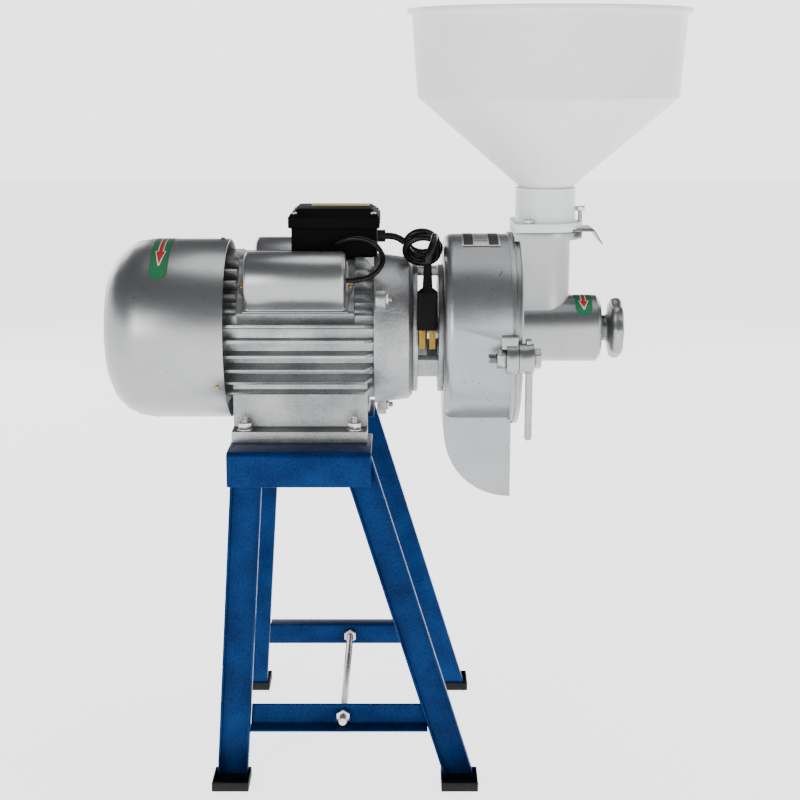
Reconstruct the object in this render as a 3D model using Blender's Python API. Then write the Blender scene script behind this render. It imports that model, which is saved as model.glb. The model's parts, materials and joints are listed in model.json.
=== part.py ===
"""A small electric disc mill on a steel stand.

A finned motor carries a grinding drum on a short lantern bracket. The drum's
cover is a throat casting: barrel, feed duct and hopper flange in one. Lengths
are in metres. X runs along the motor's shaft, from the fan cowl to the
handwheel, -Y is the side with the cord, and the floor is at Z = 0.
"""
from math import acos, atan2, cos, hypot, pi, radians, sin, tan

import bmesh
import bpy
from mathutils import Matrix, Vector

# Fits and fineness
GAP = 0.0003
RUNNING_GAP = 0.0015
OVERRUN = 0.004
MERGE = 0.000005
LARGE_STEPS = 36
MEDIUM_STEPS = 20
SMALL_STEPS = 10
HEX_STEPS = 6
SMOOTH_ANGLE = radians(32)

# Lengths along the shaft
COWL_LENGTH = 0.1282
COWL_OVERLAP = 0.004
FRAME_LENGTH = 0.152
BELL_LENGTH = 0.0386
BRACKET_LENGTH = 0.0309
DRUM_DEPTH = 0.0705
COVER_THICKNESS = 0.006
BARREL_LENGTH = 0.0853
FEED_OFFSET = 0.0336

# Motor
FRAME_BORE_RADIUS = 0.062
FRAME_RADIUS = 0.072
FIN_TIP_RADIUS = 0.084
FIN_COUNT = 34
FIN_ROOT = 0.0046
FIN_TIP = 0.0026
FIN_TAPER = 0.009
FIN_END_HEIGHT = 0.003
PAD_STEP = 0.0008
PAD_MARGIN = 0.0048
COWL_RADIUS = 0.0926
COWL_WALL = 0.0018
COWL_CORNER = 0.045
COWL_DOME = 0.004
GRILLE_SLOT = 0.0045
GRILLE_INNER = 0.016
GRILLE_MIDDLE = 0.033
GRILLE_OUTER = 0.056
GRILLE_BRIDGE = 0.004
GRILLE_RAYS = 6
COWL_ARC_STEPS = 5
BELL_REAR_RADIUS = 0.078
BELL_FRONT_RADIUS = 0.0733
BELL_CORNER = 0.004
BELL_WALL = 0.006
BELL_NOSE_RADIUS = 0.034
BELL_NOSE_LENGTH = 0.015
LUG_CIRCLE = 0.0816
LUG_WIDTH = 0.0205
LUG_SETBACK = 0.002
LUG_THICKNESS = 0.0094
LUG_HOLE_RADIUS = 0.0034
REAR_BELL_LENGTH = 0.024
REAR_BELL_RADIUS = 0.077
STATOR_BORE_RADIUS = 0.0412
STATOR_MARGIN = 0.034
WINDING_OUTER_RADIUS = 0.0565
WINDING_INNER_RADIUS = 0.0445
WINDING_LENGTH = 0.022
ROTOR_RADIUS = 0.0406
BEARING_RADIUS = 0.0235
BEARING_WIDTH = 0.014
SHAFT_RADIUS = 0.011
SHAFT_SHOULDER_RADIUS = 0.0145
FAN_RADIUS = 0.079
FAN_WIDTH = 0.026
FAN_PLATE = 0.003
FAN_PLATE_SHARE = 0.75
FAN_HUB_RADIUS = 0.019
FAN_HUB_LENGTH = 0.022
FAN_BLADES = 8
FAN_BLADE_THICKNESS = 0.0025
FAN_CLEARANCE = 0.021

# Motor feet and what they stand on
FOOT_DROP = 0.1021
FOOT_LENGTH = 0.1354
FOOT_SETBACK = 0.0067
FOOT_OUTER = 0.085
FOOT_INNER = 0.049
FOOT_THICKNESS = 0.0112
FOOT_WEB_OUTER = 0.0600
FOOT_WEB_INNER = 0.0500
FOOT_BOLT_OUT = 0.0730
FOOT_BOLT_INSET = 0.0128
FOOT_BOLT_RADIUS = 0.004
FOOT_BOLT_CLEARANCE = 0.0006
FOOT_BOLT_PROUD = 0.0135
FOOT_NUT_RADIUS = 0.0075
FOOT_NUT_HEIGHT = 0.0066
FOOT_WASHER_RADIUS = 0.0086
FOOT_WASHER_HEIGHT = 0.0014
FOOT_HEAD_HEIGHT = 0.0055

# Boxes on the motor
CAP_ANGLE = radians(42)
CAP_PAD = 0.076
CAP_LENGTH = 0.0996
CAP_START = 0.0248
CAP_RADIUS = 0.029
CAP_STRAIGHT = 0.011
CAP_WALL = 0.0016
CAP_ROUND = 0.004
CAP_LIP = 0.0025
CAP_EAR = 0.0075
CAP_EAR_WIDTH = 0.026
CAN_RADIUS = 0.0185
CAN_LENGTH = 0.086
BOX_LENGTH = 0.0864
BOX_END = 0.0157
BOX_HALF_WIDTH = 0.034
BOX_PAD = 0.078
BOX_TOP = 0.1068
BOX_WALL = 0.0028
BOX_CORNER = 0.005
LID_OVERHANG = 0.0055
LID_HANG = 0.0028
LID_SKIRT_TOP = 0.1181
LID_TOP = 0.1262
LID_SLOPE = 0.0085
LID_WALL = 0.003

# Lantern bracket between motor and drum
BRACKET_RADIUS = 0.066
BRACKET_BORE_RADIUS = 0.036
BRACKET_FLANGE = 0.005
POST_RADIUS = 0.0600
POST_WIDTH = 0.022
POST_THICKNESS = 0.008
POST_COUNT = 3

# Drum, chute and clamps
DRUM_RADIUS = 0.0975
DRUM_RIM_RADIUS = 0.0996
DRUM_RIM_WIDTH = 0.0050
DRUM_WALL = 0.0055
DRUM_CORNER = 0.009
DRUM_BACK = 0.006
DRUM_BORE_RADIUS = 0.0170
CHUTE_HALF_WIDTH = 0.048
CHUTE_WALL = 0.0038
CHUTE_DEPTH = 0.168
CHUTE_BACK_DROP = 0.090
CHUTE_SETBACK = 0.0015
CHUTE_ROUND_SHARE = 0.85
CHUTE_STEPS = 12
CLAMP_OUT = 0.1146
CLAMP_DROP = 0.0104
CLAMP_BOSS_RADIUS = 0.0147
CLAMP_ARM_SHARE = 0.94
CLAMP_LUG_LENGTH = 0.0113
CLAMP_BOLT_RADIUS = 0.005
CLAMP_BOLT_CLEARANCE = 0.0005
CLAMP_THREAD_PROUD = 0.0082
CLAMP_HEX_RADIUS = 0.0101
CLAMP_NUT_LENGTH = 0.0087
CLAMP_HEAD_LENGTH = 0.0066
CLAMP_NUT_SETBACK = 0.0006
HANDLE_BOSS_LENGTH = 0.0150
HANDLE_ROD_RADIUS = 0.00365
HANDLE_ROD_BELOW = 0.0815
HANDLE_ROD_ABOVE = 0.0200
HANDLE_FINGER_REACH = 0.0245
HANDLE_FINGER_WIDTH = 0.016
HANDLE_FINGER_GAP = 0.0006

# Throat casting
BARREL_RADIUS = 0.0344
BARREL_BORE_RADIUS = 0.0268
BARREL_END_WALL = 0.0125
BARREL_ROUND = 0.004
DUCT_RADIUS = 0.026
DUCT_WALL = 0.005
DUCT_FLANGE_RADIUS = 0.0383
DUCT_FLANGE_TOP = 0.102
DUCT_FLANGE_THICKNESS = 0.0076

# Gate, collar and hopper
GATE_THICKNESS = 0.0016
GATE_HALF_WIDTH = 0.0265
GATE_TAIL = 0.009
GATE_TAB_DROP = 0.0125
GATE_TAB_RUN = 0.0080
GATE_GUIDE_GAP = 0.0005
COLLAR_BASE = 0.0088
COLLAR_RADIUS = 0.0307
COLLAR_HEIGHT = 0.0429
COLLAR_MARGIN = 0.001
HOPPER_NECK_RADIUS = 0.0267
HOPPER_NECK_LENGTH = 0.031
HOPPER_WALL = 0.0024
HOPPER_CONE_HEIGHT = 0.0897
HOPPER_SIDE_HEIGHT = 0.0855
HOPPER_DRUM_RADIUS = 0.131
HOPPER_MOUTH_RADIUS = 0.1367
RIM_REACH = 0.0046
RIM_HEIGHT = 0.004

# Grinding discs, feed screw and adjuster
DISC_RADIUS = 0.078
DISC_THICKNESS = 0.012
DISC_EYE_RADIUS = 0.036
DISC_GAP = 0.0015
DISC_GROOVES = 12
DISC_GROOVE_WIDTH = 0.0035
DISC_GROOVE_DEPTH = 0.0022
DISC_GROOVE_SKEW = radians(24)
CARRIER_RADIUS = 0.058
CARRIER_PLATE = 0.008
CARRIER_HUB_RADIUS = 0.0195
CARRIER_HUB_LENGTH = 0.012
FEED_CORE_RADIUS = 0.0155
FEED_ROOT_RADIUS = 0.020
FEED_FLIGHT_RADIUS = 0.0248
FEED_FLIGHT_THICKNESS = 0.0035
FEED_PITCH = 0.034
FEED_TURNS = 1.75
FEED_STEPS = 14
SHAFT_END_GAP = 0.004
THRUST_PLUG_RADIUS = 0.0075
THRUST_PLUG_LENGTH = 0.010
SCREW_RADIUS = 0.008
SCREW_CLEARANCE = 0.0006
WHEEL_HUB_RADIUS = 0.0146
WHEEL_HUB_LENGTH = 0.0075
WHEEL_RADIUS = 0.0306
WHEEL_WIDTH = 0.0156
WHEEL_RIM = 0.0078
WHEEL_DISH = 0.003
WHEEL_LOBES = 8
WHEEL_LOBE_SHARE = 0.035

# Stand
STAND_HEIGHT = 0.3486
RAIL_LENGTH = 0.142
RAIL_OUTER = 0.124
RAIL_DEPTH = 0.082
RAIL_HEIGHT = 0.0352
RAIL_WALL = 0.003
RAIL_BEND = 0.006
LEG_WIDTH = 0.031
LEG_DEPTH = 0.0112
LEG_WALL = 0.0025
LEFT_LEG_INSET = 0.0050
RIGHT_LEG_INSET = 0.0018
LEFT_LEAN_SHARE = 0.065
RIGHT_LEAN_SHARE = 0.3076
BAR_RISE = 0.058
BAR_HEIGHT = 0.023
BAR_DEPTH = 0.020
BAR_WALL = 0.0026
FOOT_CAP_LENGTH = 0.0373
FOOT_CAP_DEPTH = 0.037
FOOT_CAP_HEIGHT = 0.0098
FOOT_CAP_FLOOR = 0.003
FOOT_CAP_WALL = 0.0016
TIE_ROD_RADIUS = 0.004
TIE_NUT_RADIUS = 0.0075
TIE_NUT_LENGTH = 0.0065
TIE_ROD_PROUD = 0.011
TIE_ROD_INSET = 0.082

# Mains cord, capacitor lead and plug
CORD_RADIUS = 0.0035
LEAD_RADIUS = 0.0026
COIL_TURN_RADIUS = 0.015
COIL_TURNS = 4
COIL_CENTRE = Vector((0.04855, -0.0220, 0.0872))
GLAND_RADIUS = 0.0062
GLAND_LENGTH = 0.008
GLAND_SIDE = -0.008
GLAND_RISE = 0.0965
PLUG_PLACE = Vector((0.05335, -0.0735, 0.0520))
PLUG_LENGTH = 0.041
PLUG_WIDTH = 0.0205
PLUG_THICKNESS = 0.0135
PLUG_TAPER = 0.004
RELIEF_LENGTH = 0.0245
RELIEF_RADIUS = 0.0052
BLADE_LENGTH = 0.0195
BLADE_WIDTH = 0.0063
BLADE_THICKNESS = 0.0015
BLADE_SPACING = 0.0100
CORD_POINTS = 18
LEAD_POINTS = 24
CORD_ROUTE = [
    Vector((0.01165, -0.0080, 0.0965)),
    Vector((0.01595, -0.0080, 0.0965)),
    Vector((0.02245, -0.0100, 0.0930)),
    Vector((0.02755, -0.0130, 0.0872)),
]
TAIL_ROUTE = [
    Vector((0.06165, -0.0364, 0.0960)),
    Vector((0.06165, -0.0410, 0.0960)),
    Vector((0.06120, -0.0480, 0.0992)),
    Vector((0.06040, -0.0565, 0.1016)),
    Vector((0.05940, -0.0645, 0.0982)),
    Vector((0.05670, -0.0706, 0.0910)),
    Vector((0.05385, -0.0732, 0.0835)),
    Vector((0.05335, -0.0735, 0.0768)),
]
LEAD_ROUTE = [
    Vector((-0.03805, -0.0343, 0.0905)),
    Vector((-0.03805, -0.0390, 0.0905)),
    Vector((-0.03205, -0.0450, 0.0950)),
    Vector((-0.02205, -0.0490, 0.0985)),
    Vector((-0.01005, -0.0505, 0.0980)),
    Vector((0.00195, -0.0530, 0.0925)),
    Vector((0.00945, -0.0590, 0.0810)),
    Vector((0.00545, -0.0650, 0.0695)),
    Vector((-0.00505, -0.0670, 0.0620)),
    Vector((-0.01805, -0.0665, 0.0590)),
    Vector((-0.02705, -0.0665, 0.0590)),
]

# Stations along X, worked out from the origin under the middle of the whole
AXIS_HEIGHT = STAND_HEIGHT + GAP + FOOT_DROP
LEFT_REACH = (
    DRUM_DEPTH + BRACKET_LENGTH + BELL_LENGTH + FRAME_LENGTH - COWL_OVERLAP + COWL_LENGTH + 3 * GAP
)
RIM_RADIUS = HOPPER_MOUTH_RADIUS + RIM_REACH
DRUM_FRONT = (LEFT_REACH - GAP - FEED_OFFSET - RIM_RADIUS) / 2
DRUM_REAR = DRUM_FRONT - DRUM_DEPTH
BRACKET_FRONT = DRUM_REAR - GAP
BRACKET_REAR = BRACKET_FRONT - BRACKET_LENGTH
BELL_FRONT = BRACKET_REAR - GAP
BELL_REAR = BELL_FRONT - BELL_LENGTH
FRAME_FRONT = BELL_REAR - GAP
FRAME_REAR = FRAME_FRONT - FRAME_LENGTH
COWL_MOUTH = FRAME_REAR + COWL_OVERLAP
COWL_END = COWL_MOUTH - COWL_LENGTH
COVER_REAR = DRUM_FRONT + GAP
COVER_FRONT = COVER_REAR + COVER_THICKNESS
BARREL_END = COVER_FRONT + BARREL_LENGTH
FEED_X = COVER_REAR + FEED_OFFSET
COLLAR_TOP = DUCT_FLANGE_TOP + GAP + COLLAR_HEIGHT
HOPPER_CONE_FOOT = COLLAR_TOP + 2 * GAP
HOPPER_CONE_TOP = HOPPER_CONE_FOOT + HOPPER_CONE_HEIGHT
HOPPER_TOP = HOPPER_CONE_TOP + HOPPER_SIDE_HEIGHT
AXIS =Vector((0, 0, AXIS_HEIGHT))
FOOT_REAR = FRAME_FRONT - FOOT_SETBACK - FOOT_LENGTH
FOOT_BOLT_PLACES = (FOOT_REAR + FOOT_BOLT_INSET, FOOT_REAR + FOOT_LENGTH - FOOT_BOLT_INSET)
CAP_REAR = FRAME_REAR + CAP_START
CAP_REAR_EAR = CAP_REAR - CAP_EAR
CAP_FRONT_EAR = CAP_REAR + CAP_LENGTH + CAP_EAR
BOX_REAR = CAP_FRONT_EAR + CAP_EAR + BOX_END - BOX_LENGTH
FRONT_BEARING = BELL_FRONT + BELL_NOSE_LENGTH / 2 - BEARING_WIDTH / 2
REAR_BEARING = FRAME_REAR - GAP - REAR_BELL_LENGTH + BELL_WALL
FAN_REAR = COWL_END + COWL_DOME + COWL_WALL + FAN_CLEARANCE
RAIL_START = FOOT_REAR - (RAIL_LENGTH - FOOT_LENGTH) / 4
LEG_OUTER = RAIL_OUTER - RAIL_WALL - GAP
LEG_TOP = STAND_HEIGHT - RAIL_BEND - GAP
LEG_FOOT = FOOT_CAP_FLOOR + GAP
LEFT_LEG_START = RAIL_START + LEFT_LEG_INSET
RIGHT_LEG_START = RAIL_START + RAIL_LENGTH - LEG_WIDTH - RIGHT_LEG_INSET
TIE_ROD_X = RAIL_START + (RAIL_LENGTH + TIE_ROD_INSET) / 2
TIE_ROD_Z = BAR_RISE + BAR_HEIGHT / 2
DISC_FRONT = COVER_REAR - GAP
FIXED_DISC_REAR = DISC_FRONT - DISC_THICKNESS
MOVING_DISC_REAR = FIXED_DISC_REAR - DISC_GAP - DISC_THICKNESS
CARRIER_PLATE_REAR = MOVING_DISC_REAR - GAP - CARRIER_PLATE
CARRIER_REAR = CARRIER_PLATE_REAR - CARRIER_HUB_LENGTH
SCREW_TIP = BARREL_END - BARREL_END_WALL - RUNNING_GAP
PLUG_REAR = SCREW_TIP - GAP - THRUST_PLUG_LENGTH
FEED_END = PLUG_REAR - GAP
SHAFT_END = FIXED_DISC_REAR
FIN_FREE_ANGLE = radians(-52)
CHUTE_LIP = DRUM_FRONT - CHUTE_SETBACK
CLAMP_LUG_FRONT = DRUM_FRONT - CLAMP_NUT_SETBACK
CLAMP_LUG_REAR = CLAMP_LUG_FRONT - CLAMP_LUG_LENGTH

ALONG_X = Vector((1, 0, 0))
ALONG_Y = Vector((0, 1, 0))
ALONG_Z = Vector((0, 0, 1))
LUG_ANGLES = [radians(-90), radians(30), radians(150)]

# Colours as seen: base colour, metallic value, roughness
SILVER_PAINT = ((0.50, 0.51, 0.53, 1), 0.55, 0.42)
BLUE_PAINT = ((0.012, 0.075, 0.24, 1), 0.35, 0.38)
BARE_STEEL = ((0.55, 0.55, 0.54, 1), 0.95, 0.35)
ZINC = ((0.62, 0.62, 0.61, 1), 0.9, 0.3)
CAST_IRON = ((0.16, 0.16, 0.17, 1), 0.7, 0.6)
COPPER = ((0.55, 0.25, 0.12, 1), 0.8, 0.4)
BRASS = ((0.52, 0.36, 0.10, 1), 0.95, 0.3)
BLACK_PLASTIC = ((0.012, 0.012, 0.013, 1), 0.0, 0.45)
BLACK_RUBBER = ((0.010, 0.010, 0.010, 1), 0.0, 0.7)
GREEN_WHITE = ((0.66, 0.76, 0.70, 1), 0.0, 0.4)
MILK_PLASTIC = ((0.86, 0.88, 0.89, 1), 0.0, 0.35)


def clear_scene():
    for old in list(bpy.data.objects):
        bpy.data.objects.remove(old)


def empty(name, place):
    """A named frame that pieces hang from."""
    frame = bpy.data.objects.new(name, None)
    frame.location = place
    bpy.context.collection.objects.link(frame)
    return frame


def paint(obj, look):
    """Gives an object its own material."""
    colour, metallic, roughness = look
    material = bpy.data.materials.new(f"{obj.name}_finish")
    material.use_nodes = True
    shader = material.node_tree.nodes["Principled BSDF"]
    shader.inputs["Base Color"].default_value = colour
    shader.inputs["Metallic"].default_value = metallic
    shader.inputs["Roughness"].default_value = roughness
    material.diffuse_color = colour
    obj.data.materials.append(material)


def to_mesh(name, bm):
    """Closes a bmesh off into mesh data with smooth round sides and crisp corners."""
    bmesh.ops.recalc_face_normals(bm, faces=bm.faces)
    mesh = bpy.data.meshes.new(name)
    bm.to_mesh(mesh)
    bm.free()
    mesh.shade_smooth()
    mesh.set_sharp_from_angle(angle=SMOOTH_ANGLE)
    return mesh


def add_piece(name, bm, look, parent, place=(0, 0, 0)):
    """One node: a named object with its own material, placed in its parent's frame."""
    obj = bpy.data.objects.new(name, to_mesh(name, bm))
    obj.parent = parent
    obj.location = place
    bpy.context.collection.objects.link(obj)
    paint(obj, look)
    return obj


def combine(piece, bm, operation="DIFFERENCE"):
    """Cuts from, or joins to, a piece a hidden shape given in the piece's own frame."""
    name = f"{piece.name}_tool_{len(piece.modifiers)}"
    tool = bpy.data.objects.new(name, to_mesh(name, bm))
    tool.parent = piece
    tool.hide_render = True
    tool.display_type = "WIRE"
    bpy.context.collection.objects.link(tool)
    modifier = piece.modifiers.new(name, "BOOLEAN")
    modifier.operation = operation
    modifier.object = tool


def cut(piece, bm):
    combine(piece, bm)


def join(piece, bm):
    combine(piece, bm, "UNION")


def turned(profile, axis=ALONG_X, steps=LARGE_STEPS, centre=(0, 0, 0)):
    """A body turned about an axis from (place along it, radius) points.

    A profile that starts and ends on the axis is solid; any other is a closed
    ring section.
    """
    bm = bmesh.new()
    across = ALONG_X if axis == ALONG_Z else ALONG_Z
    verts = [bm.verts.new(axis * along + across * radius) for along, radius in profile]
    pairs = list(zip(verts, verts[1:]))
    if profile[0][1] > 0:
        pairs.append((verts[-1], verts[0]))
    edges = [bm.edges.new(pair) for pair in pairs]
    bmesh.ops.spin(bm, geom=verts + edges, cent=(0, 0, 0), axis=axis, angle=2 * pi, steps=steps, use_merge=True)
    bmesh.ops.remove_doubles(bm, verts=bm.verts, dist=MERGE)
    bmesh.ops.translate(bm, verts=bm.verts, vec=centre)
    return bm


def rod(start, length, radius, axis=ALONG_X, steps=SMALL_STEPS, centre=(0, 0, 0)):
    """A plain round bar along an axis."""
    profile = [(start, 0), (start, radius), (start + length, radius), (start + length, 0)]
    return turned(profile, axis, steps, centre)


def prism(outline, axis, start, length):
    """An outline across an axis, drawn out along it. Points are (Y, Z), (X, Z) or (X, Y)."""
    bm = bmesh.new()
    if axis == ALONG_X:
        corners = [Vector((start, u, v)) for u, v in outline]
    elif axis == ALONG_Y:
        corners = [Vector((u, start, v)) for u, v in outline]
    else:
        corners = [Vector((u, v, start)) for u, v in outline]
    face = bm.faces.new([bm.verts.new(corner) for corner in corners])
    drawn = bmesh.ops.extrude_face_region(bm, geom=[face])["geom"]
    moved = [item for item in drawn if isinstance(item, bmesh.types.BMVert)]
    bmesh.ops.translate(bm, verts=moved, vec=axis * length)
    return bm


def block(low, high):
    """A box between two corners."""
    low, high = Vector(low), Vector(high)
    size = high - low
    bm = bmesh.new()
    bmesh.ops.create_cube(bm, size=1)
    bmesh.ops.transform(bm, verts=bm.verts, matrix=Matrix.LocRotScale((low + high) / 2, None, size))
    return bm


def loft(rings):
    """A solid skinned over rings of equally many points, capped at both ends."""
    bm = bmesh.new()
    rows = [[bm.verts.new(point) for point in ring] for ring in rings]
    for one, other in zip(rows, rows[1:]):
        for i in range(len(one)):
            bm.faces.new((one[i - 1], one[i], other[i], other[i - 1]))
    bm.faces.new(rows[0])
    bm.faces.new(rows[-1])
    return bm


def arc(centre, radius, start, end, steps):
    """Points of an arc, its ends included."""
    angles = [start + (end - start) * i / steps for i in range(steps + 1)]
    return [(centre[0] + radius * cos(a), centre[1] + radius * sin(a)) for a in angles]


def rounded_rectangle(low, high, corner, steps=3):
    """A rectangle's outline with round corners."""
    centres = [
        (high[0] - corner, high[1] - corner),
        (low[0] + corner, high[1] - corner),
        (low[0] + corner, low[1] + corner),
        (high[0] - corner, low[1] + corner),
    ]
    outline = []
    for quarter, centre in enumerate(centres):
        outline += arc(centre, corner, quarter * pi / 2, (quarter + 1) * pi / 2, steps)
    return outline


def rotate_about_x(bm, angle):
    bmesh.ops.rotate(bm, verts=bm.verts, cent=(0, 0, 0), matrix=Matrix.Rotation(angle, 3, "X"))
    return bm


def gathered(shapes):
    """Several loose shapes as one cutter or one set of added parts."""
    whole = bmesh.new()
    for shape in shapes:
        mesh = bpy.data.meshes.new("shape")
        bmesh.ops.recalc_face_normals(shape, faces=shape.faces)
        shape.to_mesh(mesh)
        shape.free()
        whole.from_mesh(mesh)
        bpy.data.meshes.remove(mesh)
    return whole


def smooth_route(points, count):
    """Evenly spread points on a Catmull-Rom curve through a few chosen ones."""
    padded = [2 * points[0] - points[1]] + points + [2 * points[-1] - points[-2]]
    fine = []
    for before, start, end, after in zip(padded, padded[1:], padded[2:], padded[3:]):
        for i in range(16):
            t = i / 16
            fine.append(
                (2 * start + (end - before) * t + (2 * before - 5 * start + 4 * end - after) * t**2
                 + (3 * start - before - 3 * end + after) * t**3) / 2
            )
    fine.append(points[-1])
    lengths = [0]
    for one, other in zip(fine, fine[1:]):
        lengths.append(lengths[-1] + (other - one).length)
    spread = []
    for k in range(count):
        target = lengths[-1] * k / (count - 1)
        i = max(j for j in range(len(lengths) - 1) if lengths[j] <= target)
        share = (target - lengths[i]) / (lengths[i + 1] - lengths[i])
        spread.append(fine[i].lerp(fine[i + 1], share))
    return spread


def tube(name, route, count, radius, look, parent):
    """A cord: a bevelled poly curve with filled ends along a smooth route."""
    curve = bpy.data.curves.new(name, "CURVE")
    curve.dimensions = "3D"
    curve.bevel_depth = radius
    curve.bevel_resolution = 2
    curve.render_resolution_u = 0
    curve.use_fill_caps = True
    spline = curve.splines.new("POLY")
    points = smooth_route(route, count)
    spline.points.add(len(points) - 1)
    for knot, point in zip(spline.points, points):
        knot.co = (*point, 1)
    obj = bpy.data.objects.new(name, curve)
    obj.parent = parent
    bpy.context.collection.objects.link(obj)
    paint(obj, look)


def mirrored(outline, side):
    """An outline in (Y, Z) turned to the near (-1) or far (+1) side."""
    return [(side * y, z) for y, z in outline]


# Stand

def rail_outline(side):
    """An angle whose web faces outward and whose top flange carries a motor foot."""
    top, foot = STAND_HEIGHT, STAND_HEIGHT - RAIL_HEIGHT
    outer_bend = arc((RAIL_OUTER - RAIL_BEND, top - RAIL_BEND), RAIL_BEND, 0, pi / 2, 4)
    inner_bend = arc((RAIL_OUTER - RAIL_BEND, top - RAIL_BEND), RAIL_BEND - RAIL_WALL, pi / 2, 0, 4)
    inner_edge = RAIL_OUTER - RAIL_DEPTH
    outline = [(RAIL_OUTER, foot)] + outer_bend + [(inner_edge, top), (inner_edge, top - RAIL_WALL)]
    outline += inner_bend + [(RAIL_OUTER - RAIL_WALL, foot)]
    return mirrored(outline, side)


def make_rail(name, side, stand):
    rail = add_piece(name, prism(rail_outline(side), ALONG_X, RAIL_START, RAIL_LENGTH), BLUE_PAINT, stand)
    holes = [
        rod(STAND_HEIGHT - RAIL_WALL - OVERRUN, RAIL_WALL + 2 * OVERRUN, FOOT_BOLT_RADIUS + FOOT_BOLT_CLEARANCE,
            ALONG_Z, centre=(x, side * FOOT_BOLT_OUT, 0))
        for x in FOOT_BOLT_PLACES
    ]
    cut(rail, gathered(holes))


def leg_section(x, side, z):
    """A channel's level section, open outward, its outer corner line at x."""
    outer, inner = side * LEG_OUTER, side * (LEG_OUTER - LEG_DEPTH)
    web = side * (LEG_OUTER - LEG_DEPTH + LEG_WALL)
    plan = [
        (0, outer), (0, inner), (LEG_WIDTH, inner), (LEG_WIDTH, outer),
        (LEG_WIDTH - LEG_WALL, outer), (LEG_WIDTH - LEG_WALL, web), (LEG_WALL, web), (LEG_WALL, outer),
    ]
    return [Vector((x + u, v, z)) for u, v in plan]


def leg_place(start, slope, z):
    """The left edge of a sloping leg at a height."""
    return start + slope * (STAND_HEIGHT - z)


def make_leg(name, start, slope, side, stand):
    heights = (LEG_TOP, LEG_FOOT)
    rings = [leg_section(leg_place(start, slope, z), side, z) for z in heights]
    add_piece(name, loft(rings), BLUE_PAINT, stand)


def make_foot_cap(name, start, slope, side, stand):
    """An open rubber tray under a leg, the leg at its inner edge."""
    inner = LEG_OUTER - LEG_DEPTH - GAP - FOOT_CAP_WALL
    low_x = leg_place(start, slope, FOOT_CAP_HEIGHT / 2) + (LEG_WIDTH - FOOT_CAP_LENGTH) / 2
    near, far = sorted((side * inner, side * (inner + FOOT_CAP_DEPTH)))
    wall = FOOT_CAP_WALL
    cap = add_piece(
        name, block((low_x, near, 0), (low_x + FOOT_CAP_LENGTH, far, FOOT_CAP_HEIGHT)), BLACK_RUBBER, stand
    )
    cut(cap, block(
        (low_x + wall, near + wall, FOOT_CAP_FLOOR),
        (low_x + FOOT_CAP_LENGTH - wall, far - wall, FOOT_CAP_HEIGHT + OVERRUN),
    ))


def make_cross_bar(name, side, stand):
    """An angle between two legs: its flange is below on the near side and above on the far one."""
    foot, top = BAR_RISE, BAR_RISE + BAR_HEIGHT
    inner, outer = LEG_OUTER - LEG_DEPTH, LEG_OUTER - LEG_DEPTH + BAR_DEPTH
    flange_far = foot + BAR_WALL if side < 0 else top - BAR_WALL
    flange_edge = foot if side < 0 else top
    other_edge = top if side < 0 else foot
    section = [
        (inner, flange_edge), (outer, flange_edge), (outer, flange_far),
        (inner + BAR_WALL, flange_far), (inner + BAR_WALL, other_edge), (inner, other_edge),
    ]

    def ring(start, slope, shift):
        return [
            Vector((leg_place(start, slope, z) + shift, side * y, z)) for y, z in section
        ]

    left = ring(LEFT_LEG_START, -LEFT_LEAN_SHARE, LEG_WIDTH + GAP)
    right = ring(RIGHT_LEG_START, RIGHT_LEAN_SHARE, -GAP)
    bar = add_piece(name, loft([left, right]), BLUE_PAINT, stand)
    cut(bar, rod(
        min(side * (inner - OVERRUN), side * (outer + OVERRUN)), BAR_DEPTH + 2 * OVERRUN,
        TIE_ROD_RADIUS + FOOT_BOLT_CLEARANCE, ALONG_Y, centre=(TIE_ROD_X, 0, TIE_ROD_Z),
    ))


def make_tie_rod(stand):
    """A threaded rod through both cross bars with a nut on each side of each web."""
    inner, web = LEG_OUTER - LEG_DEPTH, BAR_WALL
    reach = inner + web + GAP + TIE_NUT_LENGTH + TIE_ROD_PROUD
    place = (TIE_ROD_X, 0, TIE_ROD_Z)
    tie = add_piece("tie_rod", rod(-reach, 2 * reach, TIE_ROD_RADIUS, ALONG_Y, centre=place), ZINC, stand)
    starts = (-inner - web - GAP - TIE_NUT_LENGTH, -inner + GAP, inner - GAP - TIE_NUT_LENGTH, inner + web + GAP)
    nuts = [rod(start, TIE_NUT_LENGTH, TIE_NUT_RADIUS, ALONG_Y, HEX_STEPS, place) for start in starts]
    join(tie, gathered(nuts))


def make_stand():
    stand = empty("stand_base", (0, 0, 0))
    for word, side in (("near", -1), ("far", 1)):
        make_rail(f"{word}_top_rail", side, stand)
        make_leg(f"{word}_left_leg", LEFT_LEG_START, -LEFT_LEAN_SHARE, side, stand)
        make_leg(f"{word}_right_leg", RIGHT_LEG_START, RIGHT_LEAN_SHARE, side, stand)
        make_cross_bar(f"{word}_cross_bar", side, stand)
        make_foot_cap(f"{word}_left_foot_cap", LEFT_LEG_START, -LEFT_LEAN_SHARE, side, stand)
        make_foot_cap(f"{word}_right_foot_cap", RIGHT_LEG_START, RIGHT_LEAN_SHARE, side, stand)
    make_tie_rod(stand)


# Motor

def pad_radius(angle, with_side_pads):
    """Distance from the axis to the flat pads, in the direction of an angle, or None beside them."""
    side_pads = [
        (CAP_ANGLE, CAP_PAD, CAP_RADIUS + CAP_LIP),
        (pi - CAP_ANGLE, CAP_PAD, CAP_RADIUS + CAP_LIP),
    ]
    top_pad = [(pi / 2, BOX_PAD, BOX_HALF_WIDTH)]
    for middle, height, half_width in (side_pads if with_side_pads else []) + top_pad:
        off = angle - middle
        if abs(off) <= atan2(half_width + PAD_MARGIN, height):
            return height / cos(off)
    return None


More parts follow.
